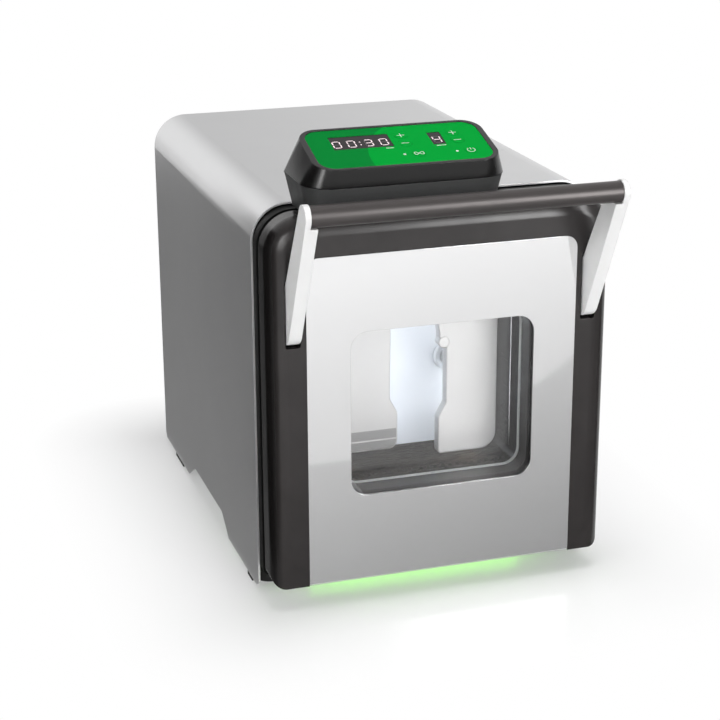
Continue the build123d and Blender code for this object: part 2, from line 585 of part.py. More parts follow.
def make_paddle(side):
    """A beating paddle with a softened face, and behind it the boss that screws onto its rod."""
    near = paddle_face(side)
    far = near + PADDLE_THICK
    paddle = slab_y(paddle_outline(side), near, far)
    paddle = fillet(paddle.faces().sort_by(Axis.Y)[0].edges(), 1.2)
    paddle += pin_y(11, far - 1, far + 4, ROD_X, ROD_Z)
    paddle -= pin_y(SPIGOT_RADIUS, near + 3, far + 5, ROD_X, ROD_Z)
    if side > 0:
        stud = pin_y(4.4, near - 1.2, far - 1, 16.3, 179.3)
        paddle += fillet(stud.edges().group_by(Axis.Y)[0], 1.1)
    return sided(paddle, side)


def yoke_middle(side):
    """Depth of the middle of a yoke."""
    return CRANK_DEPTH - side * STROKE / 2


def yoke_half():
    """Half the yoke's length and height round its slot."""
    return RING_RADIUS + YOKE_PLAY + 9, RING_RADIUS + CRANK_THROW + YOKE_PLAY + 8


def make_rod(side):
    """A ground rod with a spigot at each end: one screws into the paddle, one into the yoke."""
    near = paddle_face(side) + PADDLE_THICK + 4
    far = yoke_middle(side) - yoke_half()[0]
    rod = pin_y(ROD_RADIUS, near, far, side * ROD_X, ROD_Z)
    rod += pin_y(SPIGOT_RADIUS, near - PADDLE_THICK - 1, near, side * ROD_X, ROD_Z)
    return rod + pin_y(SPIGOT_RADIUS, far, far + 7, side * ROD_X, ROD_Z)


def make_yoke(side):
    """The slotted yoke that turns the ring's circle into the rod's to and fro."""
    long, tall = yoke_half()
    slot = RectangleRounded(2 * (RING_RADIUS + YOKE_PLAY), 2 * (RING_RADIUS + CRANK_THROW + YOKE_PLAY), 6)
    outline = Pos(yoke_middle(side), ROD_Z) * (RectangleRounded(2 * long, 2 * tall, 9) - slot)
    yoke = slab_x(outline, ROD_X - YOKE_WIDTH / 2, ROD_X + YOKE_WIDTH / 2)
    front = yoke_middle(side) - long
    return sided(yoke - pin_y(SPIGOT_RADIUS, front - 1, front + 7, ROD_X, ROD_Z), side)


def make_rod_seals():
    """A pale flanged seal round each rod, pressed into the liner from the front."""
    collar = pin_y(SEAL_BORE - 0.02, CHAMBER_REAR - 0.1, CHAMBER_REAR + 5, ROD_X, ROD_Z)
    flange = pin_y(SEAL_FLANGE, CHAMBER_REAR - 3, CHAMBER_REAR - 0.05, ROD_X, ROD_Z)
    seal = collar + chamfer(flange.edges().group_by(Axis.Y)[0], 1.2)
    return joined(both(seal - pin_y(ROD_RADIUS + FIT, CHAMBER_REAR - 5, CHAMBER_REAR + 6, ROD_X, ROD_Z)))


def make_guide_block():
    """The cast block behind the chamber that carries both rods, on a foot down to the base plate."""
    cast = slab_y(Pos(0, ROD_Z) * RectangleRounded(112, 46, 12), GUIDE_NEAR, GUIDE_FAR)
    cast += block(-30, 30, GUIDE_NEAR, GUIDE_FAR, BASE_HIGH, ROD_Z - 15)
    cast += block(-44, 44, GUIDE_NEAR, GUIDE_FAR, BASE_HIGH, BASE_HIGH + 8)
    cast -= block(-18, 18, GUIDE_NEAR - 1, GUIDE_FAR + 1, 46, 118)
    return without(cast, both(pin_y(SEAL_BORE, GUIDE_NEAR - 1, GUIDE_FAR + 1, ROD_X, ROD_Z)))


def make_guide_bushings():
    """The plain bushes in which the rods slide."""
    bush = pin_y(SEAL_BORE, 98, GUIDE_FAR, ROD_X, ROD_Z)
    return joined(both(bush - pin_y(ROD_RADIUS + FIT, 97, GUIDE_FAR + 1, ROD_X, ROD_Z)))


def throw_centre(side):
    """Centre of an eccentric: the right one starts low and forward, the left one opposite."""
    start = radians(270 - SWING / 2)
    return CRANK_DEPTH + side * CRANK_THROW * cos(start), ROD_Z + side * CRANK_THROW * sin(start)


def disc_span(side):
    """Left and right face of an eccentric and of the ring round it."""
    return sorted((side * DISC_NEAR, side * DISC_FAR))


def make_crankshaft():
    """The shaft with its two opposed eccentrics."""
    shaft = pin_x(SHAFT_RADIUS, -82, 112, CRANK_DEPTH, ROD_Z)
    for side in (-1, 1):
        shaft += pin_x(DISC_RADIUS, *disc_span(side), *throw_centre(side))
    return shaft


def make_throw_rings():
    """The ground rings that run round the eccentrics, inside the yokes."""
    rings = []
    for side in (-1, 1):
        left, right = disc_span(side)
        ring = pin_x(RING_RADIUS, left, right, *throw_centre(side))
        rings.append(ring - pin_x(DISC_RADIUS, left - 1, right + 1, *throw_centre(side)))
    return joined(rings)


def make_bearing_stands():
    """Two upright stands that carry the crankshaft."""
    foot, neck = 40, 24
    outline = polygon((CRANK_DEPTH - foot, BASE_HIGH), (CRANK_DEPTH + foot, BASE_HIGH),
                      (CRANK_DEPTH + foot, BASE_HIGH + 10), (CRANK_DEPTH + neck, ROD_Z),
                      (CRANK_DEPTH - neck, ROD_Z), (CRANK_DEPTH - foot, BASE_HIGH + 10))
    outline += Pos(CRANK_DEPTH, ROD_Z) * Circle(neck)
    outline -= Pos(CRANK_DEPTH, 74) * RectangleRounded(34, 60, 10)
    outline -= Pos(CRANK_DEPTH, ROD_Z) * Circle(BEARING_RADIUS)
    return joined(both(slab_x(outline, STAND_LEFT, STAND_RIGHT)))


def make_shaft_bearings():
    ring = Pos(CRANK_DEPTH, ROD_Z) * (Circle(BEARING_RADIUS) - Circle(SHAFT_RADIUS + FIT))
    return joined(both(slab_x(ring, STAND_LEFT + 0.5, STAND_RIGHT - 0.5)))


def make_pulley(radius, bore, depth, height, holes):
    """A flat-belt wheel with two flanges; the large one has lightening holes."""
    wheel = pin_x(radius, PULLEY_LEFT + 1, PULLEY_RIGHT - 1, depth, height)
    for left in (PULLEY_LEFT, PULLEY_RIGHT - 2):
        wheel += pin_x(radius + FLANGE_RISE, left, left + 2, depth, height)
    for step in range(holes):
        turn = 2 * pi * step / holes
        spot = depth + radius * 0.6 * cos(turn), height + radius * 0.6 * sin(turn)
        wheel -= pin_x(radius * 0.22, PULLEY_LEFT - 1, PULLEY_RIGHT + 1, *spot)
    return wheel - pin_x(bore, PULLEY_LEFT - 1, PULLEY_RIGHT + 1, depth, height)


def belt_outline(grow):
    """The belt's path in profile, this far outside the two wheels."""
    return hull(((CRANK_DEPTH, ROD_Z), DRIVEN_RADIUS + grow), ((MOTOR_DEPTH, MOTOR_Z), MOTOR_PULLEY_RADIUS + grow))


def make_drive_belt():
    band = belt_outline(BELT_GAP + BELT_THICK) - belt_outline(BELT_GAP)
    return slab_x(band, PULLEY_LEFT + 2.6, PULLEY_RIGHT - 2.6)


def make_motor():
    """The motor's grooved body with its round nose."""
    body = pin_x(MOTOR_RADIUS, MOTOR_LEFT, MOTOR_RIGHT - 8, MOTOR_DEPTH, MOTOR_Z)
    grooves = 16
    for step in range(grooves):
        turn = 2 * pi * step / grooves
        spot = MOTOR_DEPTH + MOTOR_RADIUS * cos(turn), MOTOR_Z + MOTOR_RADIUS * sin(turn)
        body -= pin_x(2.4, MOTOR_LEFT + 14, MOTOR_RIGHT - 20, *spot)
    body += pin_x(MOTOR_NOSE, MOTOR_RIGHT - 9, MOTOR_RIGHT + 6, MOTOR_DEPTH, MOTOR_Z)
    return body - pin_x(MOTOR_SHAFT + FIT, -50, MOTOR_RIGHT + 7, MOTOR_DEPTH, MOTOR_Z)


def make_motor_shaft():
    return pin_x(MOTOR_SHAFT, -49.5, 112, MOTOR_DEPTH, MOTOR_Z)


def make_motor_bracket():
    """An angle that holds the motor by its nose."""
    upright = Pos(MOTOR_DEPTH, 70) * RectangleRounded(96, 100, 10) - Pos(MOTOR_DEPTH, MOTOR_Z) * Circle(MOTOR_NOSE)
    bracket = slab_x(upright, MOTOR_RIGHT, MOTOR_RIGHT + 4)
    return bracket + block(MOTOR_RIGHT, 86, MOTOR_DEPTH - 38, MOTOR_DEPTH + 38, BASE_HIGH, BASE_HIGH + 4)


# ------------------------------------------------------------------ light under the front
def make_under_light():
    """The light bar below the front edge: it throws a glow on the bench."""
    return slab_x(Pos(58.5, 14) * RectangleRounded(8.6, 7.9, 2), -84, 84)


# ------------------------------------------------------------------ control unit
def label_point(along, rise=0.0):
    """Depth and height of a point this far up the tilted label, and this far out of it."""
    tilt = radians(LABEL_TILT)
    return (LABEL_FRONT[0] + along * cos(tilt) - rise * sin(tilt),
            LABEL_FRONT[1] + along * sin(tilt) + rise * cos(tilt))


def label_plane(rise=0.0):
    """A plane on the label: local x to the right, local y up the slope, from the middle of its front edge."""
    depth, height = label_point(0, rise)
    tilt = radians(LABEL_TILT)
    return Plane(origin=(UNIT_X, FRONT + depth, height), x_dir=(1, 0, 0), z_dir=(0, -sin(tilt), cos(tilt)))


def on_label(outline, low, high):
    """A sketch in the label's plane, drawn out between two heights above the label's face."""
    return extrude(label_plane(low) * outline, high - low)


def unit_outline(half, near, far, front_radius, rear_radius):
    """A sketch in plan, round at its front corners and tighter at the rear."""
    sketch = Pos(UNIT_X, (near + far) / 2) * Rectangle(2 * half, far - near)
    sketch = fillet(sketch.vertices().group_by(Axis.Y)[0], front_radius)
    return fillet(sketch.vertices().group_by(Axis.Y)[-1], rear_radius)


def belt_plan(inset):
    """The control unit's outline at its parting line, drawn in by inset."""
    return unit_outline(72.5 - inset, inset - 27, 40 - inset, 21 - inset, 7 - inset)


def upper_shell_solid(inset):
    """The wedge above the parting line, from the belt up to the tilted top."""
    belt = Plane.XY.offset(UNIT_BELT) * Pos(0, FRONT) * belt_plan(inset)
    top = RectangleRounded(LABEL_WIDTH + 8 - 2 * inset, LABEL_LENGTH + 5 - 2 * inset, 14 - inset)
    return loft([belt.face(), (label_plane(0.4 - inset) * Pos(0, LABEL_LENGTH / 2) * top).face()])


def pedestal_solid(inset):
    """The foot of the control unit, widening from the casing up to the parting line."""
    foot = unit_outline(67.5 - inset, inset - 22, 36 - inset, 19 - inset, 6 - inset)
    foot = Plane.XY.offset(CASE_TOP + inset * 0.8) * Pos(0, FRONT) * foot
    belt = Plane.XY.offset(UNIT_BELT - 0.5) * Pos(0, FRONT) * belt_plan(inset + 0.5)
    return loft([foot.face(), belt.face()])


def unit_mouth(low, high):
    """The opening between the two halves of the control unit."""
    return slab_z(belt_plan(UNIT_WALL + 2.5), low, high)


def make_control_pedestal():
    shell = pedestal_solid(0) - pedestal_solid(UNIT_WALL) - unit_mouth(UNIT_BELT - 3, UNIT_BELT + 1)
    left, right = CABLE_DUCT
    return shell - block(left, right, 33, 35.9, CASE_TOP - 1, CASE_TOP + 4)


def label_outline(grow=0.0):
    outline = RectangleRounded(LABEL_WIDTH + 2 * grow, LABEL_LENGTH + 2 * grow, LABEL_CORNER + grow)
    return Pos(0, LABEL_LENGTH / 2) * outline


def keypad_holes(gap, low, high):
    """Room for the displays and, with a gap all round, for the keys."""
    holes = [on_label(Pos(x, along) * Rectangle(wide, tall), low, high) for x, along, wide, tall in DISPLAYS.values()]
    return holes + [on_label(Pos(*spot) * Circle(KEY_RADIUS + gap), low, high) for spot in KEYS.values()]


def make_control_housing():
    """The upper half of the unit: a tilted top with a recess for the label and holes for what is behind it."""
    shell = upper_shell_solid(0) - upper_shell_solid(UNIT_WALL - 0.4) - unit_mouth(UNIT_BELT - 1, UNIT_BELT + 1)
    shell -= on_label(label_outline(0.1), -LABEL_THICK, 3)
    return without(shell, keypad_holes(0.3, -5, 1))


def make_keypad_label():
    """The printed film in the recess, open round the keys and the displays."""
    return without(on_label(label_outline(), -LABEL_THICK, 0), keypad_holes(0.15, -2, 1))


def make_display(name):
    """A display module whose smoked face lies just below the label."""
    x, along, wide, tall = DISPLAYS[name]
    return on_label(Pos(x, along) * Rectangle(wide - 0.1, tall - 0.1), -5.2, DISPLAY_RISE)


def make_key(name):
    """A round membrane key: a cap flush with the label on a plunger down to the board."""
    spot = Pos(*KEYS[name])
    cap = on_label(spot * Circle(KEY_RADIUS), -LABEL_THICK - 0.2, KEY_RISE)
    return cap + on_label(spot * Circle(2), -4.6, -LABEL_THICK)


def make_control_board():
    """The circuit board below the keys, with a hole under each plunger."""
    outline = Pos(0, LABEL_LENGTH / 2) * RectangleRounded(LABEL_WIDTH - 14, LABEL_LENGTH - 8, 3)
    return without(on_label(outline, -6.8, -5.3), [on_label(Pos(*spot) * Circle(0.8), -8, -5) for spot in KEYS.values()])


# ------------------------------------------------------------------ the parts
PARTS = {
    "outer_cover": make_outer_cover(),
    "base_plate": make_base_plate(),
    "rubber_feet": make_rubber_feet(),
    "rear_panel": make_rear_panel(),
    "rear_screws": make_rear_screws(),
    "power_inlet": make_power_inlet(),
    "mains_rocker": make_mains_rocker(),
    "power_supply": make_power_supply(),
    "front_frame": make_front_frame(),
    "striker_pins": make_striker_pins(),
    "hinge_pins": make_hinge_pins(),
    "chamber_liner": make_chamber_liner(),
    "chamber_shield": make_chamber_shield(),
    "drip_tray": make_drip_tray(),
    "under_light": make_under_light(),
    "door_frame": make_door_frame(),
    "door_face_plate": make_door_face_plate(),
    "door_inner_panel": make_door_inner_panel(),
    "window_panes": make_window_panes(),
    "pane_gasket": make_pane_gasket(),
    "bag_grip": make_bag_grip(),
    "panel_screws": make_panel_screws(),
    "lever_pivots": make_lever_pivots(),
    "latch_springs": make_latch_springs(),
    "handle_bar": make_handle_bar(),
    "rod_seals": make_rod_seals(),
    "guide_block": make_guide_block(),
    "guide_bushings": make_guide_bushings(),
    "crankshaft": make_crankshaft(),
    "throw_rings": make_throw_rings(),
    "bearing_stands": make_bearing_stands(),
    "shaft_bearings": make_shaft_bearings(),
    "driven_pulley": make_pulley(DRIVEN_RADIUS, SHAFT_RADIUS, CRANK_DEPTH, ROD_Z, 6),
    "motor_pulley": make_pulley(MOTOR_PULLEY_RADIUS, MOTOR_SHAFT, MOTOR_DEPTH, MOTOR_Z, 0),
    "drive_belt": make_drive_belt(),
    "motor": make_motor(),
    "motor_shaft": make_motor_shaft(),
    "motor_bracket": make_motor_bracket(),
    "control_pedestal": make_control_pedestal(),
    "control_housing": make_control_housing(),
    "keypad_label": make_keypad_label(),
    "control_board": make_control_board(),
}
for word, side in (("left", -1), ("right", 1)):
    PARTS[f"{word}_lever_arm"] = make_lever_arm(side)
    PARTS[f"{word}_latch_hook"] = make_latch_hook(side)
    PARTS[f"{word}_paddle"] = make_paddle(side)
    PARTS[f"{word}_rod"] = make_rod(side)
    PARTS[f"{word}_yoke"] = make_yoke(side)
PARTS.update({name: make_display(name) for name in DISPLAYS})
PARTS.update({name: make_key(name) for name in KEYS})

for name, shape in PARTS.items():
    export_step(shape, f"parts/{name}.step")
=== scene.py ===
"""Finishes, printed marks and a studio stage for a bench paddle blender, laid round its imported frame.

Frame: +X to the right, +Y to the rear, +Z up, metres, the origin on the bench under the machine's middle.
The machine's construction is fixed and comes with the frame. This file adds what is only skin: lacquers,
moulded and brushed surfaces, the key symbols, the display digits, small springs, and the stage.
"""
import json
import math

import bmesh
import bpy
from bpy.props import FloatProperty, FloatVectorProperty, PointerProperty, StringProperty
from mathutils import Matrix, Vector


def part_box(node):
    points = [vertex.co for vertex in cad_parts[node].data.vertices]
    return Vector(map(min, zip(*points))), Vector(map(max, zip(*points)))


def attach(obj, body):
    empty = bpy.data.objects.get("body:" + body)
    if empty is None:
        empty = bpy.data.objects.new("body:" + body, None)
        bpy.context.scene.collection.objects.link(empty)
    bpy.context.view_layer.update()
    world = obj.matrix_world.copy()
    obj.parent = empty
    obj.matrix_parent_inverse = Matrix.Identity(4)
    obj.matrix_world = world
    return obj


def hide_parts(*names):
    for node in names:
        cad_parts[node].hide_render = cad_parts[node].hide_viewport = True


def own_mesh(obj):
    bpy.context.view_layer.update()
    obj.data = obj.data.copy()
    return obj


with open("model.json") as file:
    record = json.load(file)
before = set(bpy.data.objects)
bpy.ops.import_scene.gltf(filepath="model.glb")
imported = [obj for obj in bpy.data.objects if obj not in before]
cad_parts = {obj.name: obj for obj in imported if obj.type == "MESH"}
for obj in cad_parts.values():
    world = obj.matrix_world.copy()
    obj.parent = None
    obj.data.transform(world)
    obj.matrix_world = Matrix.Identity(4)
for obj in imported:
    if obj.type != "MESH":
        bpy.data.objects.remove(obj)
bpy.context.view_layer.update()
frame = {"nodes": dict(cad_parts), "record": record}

bl_info = {
    "name": "Paddle Blender Dressing",
    "version": (1, 0, 0),
    "blender": (4, 5, 0),
    "location": "3D View > Sidebar > Paddle Blender",
    "description": "Finishes, marks and stage for a bench paddle blender",
    "category": "Object",
}

MM = 0.001
SLOT_OF = {row["node"]: row["material_slot"] for row in frame["record"]["subparts"]}

# Faces and corners that the marks and the stage are set out from
PLATE_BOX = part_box("door_face_plate")
FACE_Y = PLATE_BOX[0].y                      # the face plate's front
LABEL_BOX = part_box("keypad_label")
LABEL_TILT = math.radians(16.5)
LABEL_FILM = 0.8 * MM                        # thickness of the label
LABEL_LENGTH = 53 * MM                       # up the slope
CHAMBER_HALF = 74 * MM
WINDOW_HALF = 70 * MM
WINDOW_MIDDLE, WINDOW_RISE = 159 * MM, 77 * MM
CHAMBER_LOW, CHAMBER_TOP = 81 * MM, 247 * MM
SPRING_TURNS = 8
BEAD_DEPTH = 56.2 * MM                       # behind the face plate
BANDS = ((92.4 * MM, 98.9 * MM), (100.1 * MM, 107.6 * MM))   # low and high of the left paddle's darker bands, a painted reflection
BAND_OUTER = -57.6 * MM
BAND_CORNER = (-19.6 * MM, 98.2 * MM)
BAND_ROUNDING = 5.9 * MM
KEY_RADIUS = 4.6 * MM
KEY_RISE = 0.1 * MM                          # the key caps stand this far out of the label
DISPLAY_RISE = -0.25 * MM                    # the display windows lie this far below it


# ------------------------------------------------------------------ settings
def colour(name, description, value):
    return FloatVectorProperty(name=name, description=description, default=value, subtype="COLOR",
                               size=3, min=0.0, max=1.0)


def share(name, description, value):
    return FloatProperty(name=name, description=description, default=value, subtype="FACTOR", min=0.0, max=1.0)


def length(name, description, value):
    return FloatProperty(name=name, description=description, default=value, unit="LENGTH", min=0.0)


class CasingSettings(bpy.types.PropertyGroup):
    """Looks of the bent outer cover, its rear panel and the parts below."""
    lacquer: colour("Lacquer", "Silver lacquer of the cover and the rear panel", (0.56, 0.56, 0.565))
    flake: share("Flake", "Share of the lacquer that reflects as metal flake", 0.7)
    lacquer_roughness: share("Lacquer roughness", "How satin the lacquer is", 0.28)
    orange_peel: length("Orange peel", "Height of the lacquer's fine waves", 0.002 * MM)
    feet: colour("Feet", "Rubber of the feet and seals", (0.018, 0.018, 0.018))


class DoorSettings(bpy.types.PropertyGroup):
    """Looks of the door, its frame and its face plate."""
    moulding: colour("Moulding", "Dark plastic of the door and the front frame", (0.030, 0.0265, 0.026))
    frame: colour("Frame", "Black plastic of the fixed front frame", (0.009, 0.009, 0.009))
    moulding_roughness: share("Moulding roughness", "How satin the dark plastic is", 0.24)
    plate: colour("Face plate", "Silver of the face plate", (0.9, 0.9, 0.905))
    plate_mirror: share("Face plate mirror", "Share of the plate that reflects as bare metal", 0.85)
    pane: colour("Pane", "Tint of the window panes", (0.99, 0.99, 0.99))


class HandleSettings(bpy.types.PropertyGroup):
    """Looks of the handle bar and its two arms."""
    bar: colour("Bar", "Dark anodised tube", (0.075, 0.067, 0.066))
    arm: colour("Arms", "White moulded arms", (0.78, 0.78, 0.78))


class ChamberSettings(bpy.types.PropertyGroup):
    """Looks of the beating chamber and what moves in it."""
    # the rear wall's bright bluish tone is partly painted light: the glow of the chamber's interior lamp
    shield: colour("Rear wall", "Bright enamel of the chamber's rear wall", (0.75, 0.80, 0.865))
    liner: colour("Liner", "Drawn steel of the chamber", (0.035, 0.035, 0.035))
    tray: colour("Tray", "Steel of the drip tray", (0.05, 0.044, 0.038))
    paddle: colour("Paddles", "Satin steel of the paddles", (0.63, 0.63, 0.63))
    # the bands' darker grey is a painted reflection on the left paddle
    band: colour("Bands", "Ground bands at the left paddle's foot", (0.30, 0.30, 0.30))


class ControlSettings(bpy.types.PropertyGroup):
    """Looks of the control unit, its label and its displays."""
    shell: colour("Upper shell", "Glossy dark plastic above the parting line", (0.005, 0.0048, 0.0048))
    pedestal: colour("Pedestal", "Matt dark plastic below the parting line", (0.034, 0.035, 0.035))
    green: colour("Green", "The label's lighter green", (0.001, 0.30, 0.035))
    dark_green: colour("Dark green", "The label's darker green", (0.002, 0.19, 0.03))
    ink: colour("Ink", "White of the printed symbols", (0.62, 0.68, 0.64))
    lit: colour("Lit segments", "Colour of the lit segments", (1.0, 0.83, 0.86))
    time: StringProperty(name="Time", description="Minutes and seconds on the left display", default="0030")
    speed: StringProperty(name="Speed", description="Digit on the right display", default="4")


class StageSettings(bpy.types.PropertyGroup):
    """Camera, lamps and the plain floor."""
    eye: FloatVectorProperty(name="Camera", description="Where the camera stands", unit="LENGTH", size=3,
                             default=(-0.43098, -1.32074, 0.60374))
    yaw: FloatProperty(name="Yaw", description="Turn of the view from +Y towards +X", subtype="ANGLE",
                       default=math.radians(17.587))
    pitch: FloatProperty(name="Pitch", description="How far the camera looks down", subtype="ANGLE",
                         default=math.radians(18.831))
    roll: FloatProperty(name="Roll", description="Lean of the camera", subtype="ANGLE",
                        default=math.radians(-0.258))
    lens: FloatProperty(name="Lens", description="Focal length on a 36 mm sensor", unit="CAMERA",
                        default=91.6175)
    floor: colour("Floor", "Pale floor", (0.93, 0.93, 0.93))
    glow: colour("Glow", "Light of the bar under the front", (0.27, 1.0, 0.04))
    glow_strength: FloatProperty(name="Glow strength", description="Brightness of the light bar", default=7.0)


SETTINGS = {"casing_looks": CasingSettings, "door_looks": DoorSettings, "handle_looks": HandleSettings,
            "chamber_looks": ChamberSettings, "control_looks": ControlSettings, "stage_looks": StageSettings}


# ------------------------------------------------------------------ material recipes
class Recipe:
    """A material's node tree in the making: one principled shader and what feeds it."""

    def __init__(self, name, **constants):
        self.material = bpy.data.materials.new(name)
        self.material.use_nodes = True
        self.tree = self.material.node_tree
        self.tree.nodes.clear()
        self.output = self.node("ShaderNodeOutputMaterial")
        self.shader = self.node("ShaderNodeBsdfPrincipled")
        self.place = self.node("ShaderNodeTexCoord").outputs["Object"]
        self.join(self.shader.outputs["BSDF"], self.output.inputs["Surface"])
        self.normal = None
        self.set(**constants)

    def set(self, **constants):
        """Plain values and colours go straight onto the shader's own sockets."""
        for key, value in constants.items():
            socket = self.shader.inputs[key.replace("_", " ")]
            socket.default_value = (*value, 1.0) if hasattr(value, "__len__") or hasattr(value, "r") else value

    def join(self, source, target):
        self.tree.links.new(source, target)

    def node(self, kind, values=None, **options):
        """A node of this kind, with options set and its inputs fed by values, colours or other sockets."""
        node = self.tree.nodes.new(kind)
        for key, value in options.items():
            setattr(node, key, value)
        for key, value in (values or {}).items():
            if isinstance(value, bpy.types.NodeSocket):
                self.join(value, node.inputs[key])
            else:
                node.inputs[key].default_value = value
        return node

    def stretched(self, along):
        """Object coordinates, drawn out by a factor for each axis."""
        return self.node("ShaderNodeVectorMath", {0: self.place, 1: along}, operation="MULTIPLY").outputs[0]

    def noise(self, size, detail=2.0, rough=0.5, along=None):
        """Soft noise whose blotches are about this many metres across."""
        vector = self.stretched(along) if along else self.place
        return self.node("ShaderNodeTexNoise", {"Vector": vector, "Scale": 1 / size, "Detail": detail,
                                                "Roughness": rough}).outputs["Fac"]

    def cells(self, size, feature="F1", along=None):
        vector = self.stretched(along) if along else self.place
        return self.node("ShaderNodeTexVoronoi", {"Vector": vector, "Scale": 1 / size}, feature=feature)

    def remap(self, value, start, end, low, high):
        return self.node("ShaderNodeMapRange", {"Value": value, "From Min": start, "From Max": end,
                                                "To Min": low, "To Max": high}).outputs["Result"]

    def calc(self, operation, a, b=0.0, c=0.0):
        return self.node("ShaderNodeMath", {0: a, 1: b, 2: c}, operation=operation).outputs[0]

    def blend(self, factor, first, second):
        """A colour between two others; each is a socket or three numbers."""
        node = self.node("ShaderNodeMix", {"Factor": factor}, data_type="RGBA")
        for name, value in (("A", first), ("B", second)):
            socket = next(s for s in node.inputs if s.name == name and s.type == "RGBA")
            if isinstance(value, bpy.types.NodeSocket):
                self.join(value, socket)
            else:
                socket.default_value = (*value, 1.0)
        return next(s for s in node.outputs if s.type == "RGBA")

    def feed(self, name, socket):
        self.join(socket, self.shader.inputs[name])

    def shaded(self, base, factor, towards):
        """Feeds the base colour: base, turning towards base times this share where factor is high."""
        self.feed("Base Color", self.blend(factor, base, [c * towards for c in base]))

    def rough(self, size, low, high, along=None, detail=3.0):
        """Feeds roughness: soft patches of this size between two values."""
        self.feed("Roughness", self.remap(self.noise(size, detail, 0.6, along), 0.3, 0.7, low, high))

    def soft_edge(self, radius):
        """Shades sharp edges as if they were rounded by this radius."""
        self.normal = self.node("ShaderNodeBevel", {"Radius": radius}, samples=4).outputs["Normal"]

    def bump(self, height, depth):
        """Lays relief of this depth, in metres, over what the normal is so far."""
        values = {"Height": height, "Distance": depth, "Strength": 1.0}
        if self.normal:
            values["Normal"] = self.normal
        self.normal = self.node("ShaderNodeBump", values).outputs["Normal"]

    def edge_wear(self, radius):
        """High where the surface turns sharply within this radius."""
        bent = self.node("ShaderNodeBevel", {"Radius": radius}, samples=4).outputs["Normal"]
        flat = self.node("ShaderNodeNewGeometry").outputs["Normal"]
        turned = self.node("ShaderNodeVectorMath", {0: bent, 1: flat}, operation="DOT_PRODUCT").outputs["Value"]
        return self.remap(turned, 0.98, 0.80, 0.0, 1.0)

    def within(self, axis, middle, half):
        """1 where this coordinate is within half of the middle, else 0."""
        place = self.node("ShaderNodeSeparateXYZ", {0: self.place}).outputs[axis]
        return self.calc("COMPARE", place, middle, half)

    def beyond(self, middle, half):
        """How far a point lies outside an upright box with this middle and these half sides."""
        place = self.place
        for operation, by in (("SUBTRACT", middle), ("ABSOLUTE", half), ("SUBTRACT", half), ("MAXIMUM", (0, 0, 0))):
            place = self.node("ShaderNodeVectorMath", {0: place, 1: by}, operation=operation).outputs[0]
        return self.node("ShaderNodeVectorMath", {0: place}, operation="LENGTH").outputs["Value"]

    def facing(self, axis, start, end):
        """The surface's direction along this axis, from 0 at start to 1 at end."""
        normal = self.node("ShaderNodeNewGeometry").outputs["Normal"]
        return self.remap(self.node("ShaderNodeSeparateXYZ", {0: normal}).outputs[axis], start, end, 0.0, 1.0)

    def done(self):
        if self.normal:
            self.feed("Normal", self.normal)
        return self.material


def lacquered_sheet(looks):
    """Silver lacquer: metal flake, a fine orange peel, and the sheet's front-facing cut edge painted near white, a
    painted highlight.
    """
    finish = Recipe("silver_lacquer", Metallic=looks.flake)
    base = tuple(looks.lacquer)
    flake = finish.noise(1.1 * MM, 2)
    clouds = finish.noise(90 * MM, 3)
    mottle = finish.calc("ADD", finish.remap(flake, 0.3, 0.7, 0.0, 0.6), finish.remap(clouds, 0.35, 0.65, 0.0, 0.4))
    coat = finish.blend(mottle, base, [c * 0.96 for c in base])
    # faces that look straight ahead, the sheet's cut front edge, are painted near white: a painted highlight
    finish.feed("Base Color", finish.blend(finish.facing(1, -0.98, -0.9), (0.86, 0.86, 0.86), coat))
    rough = looks.lacquer_roughness
    finish.rough(45 * MM, rough, rough + 0.02)
    finish.soft_edge(0.5 * MM)
    finish.bump(finish.noise(1.6 * MM, 2), looks.orange_peel)
    return finish.done()


DOOR_CORNER = 26 * MM
CROWN_START, CROWN_END = 14.5 * MM, 7.5 * MM     # inside the door's outline its face falls back between these
CROWN_FALL = 0.84 * MM


def dark_moulding(name, base, roughness, gloss, crowned=False):
    """Satin dark plastic: a spark-eroded grain, brighter rubbed edges, side faces painted near black as painted shade,
    and a dull window reveal.
    """
    finish = Recipe(name)
    inside = finish.calc("MULTIPLY", finish.within("X", 0, WINDOW_HALF), finish.within("Z", WINDOW_MIDDLE, WINDOW_RISE))
    finish.feed("Specular IOR Level", finish.remap(inside, 0.0, 1.0, gloss, 0.05))
    worn = finish.edge_wear(0.6 * MM)
    patches = finish.noise(30 * MM, 4)
    tone = finish.blend(finish.remap(patches, 0.3, 0.7, 0.0, 1.0), base, [c * 0.82 for c in base])
    # faces turned to either side are painted near black: painted shade
    painted_shade_flank = finish.calc("MAXIMUM", finish.facing(0, 0.3, 0.8), finish.facing(0, -0.3, -0.8))
    tone = finish.blend(painted_shade_flank, tone, [c * 0.2 for c in base])
    finish.feed("Base Color", finish.blend(finish.calc("MULTIPLY", worn, 0.3), tone, [c * 2.4 for c in base]))
    finish.rough(14 * MM, roughness - 0.03, roughness + 0.03)
    finish.soft_edge(0.5 * MM)
    if crowned:
        low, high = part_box("door_frame")
        half = (high - low) / 2 - Vector((DOOR_CORNER, -1.0, DOOR_CORNER))
        rim = finish.beyond(tuple((low + high) / 2), tuple(half))
        fall = finish.remap(rim, DOOR_CORNER - CROWN_START, DOOR_CORNER - CROWN_END, 0.0, -CROWN_FALL)
        fall.node.interpolation_type = "SMOOTHSTEP"
        finish.bump(fall, 1.0)
    finish.bump(finish.noise(0.55 * MM, 3, 0.65), 0.012 * MM)
    return finish.done()


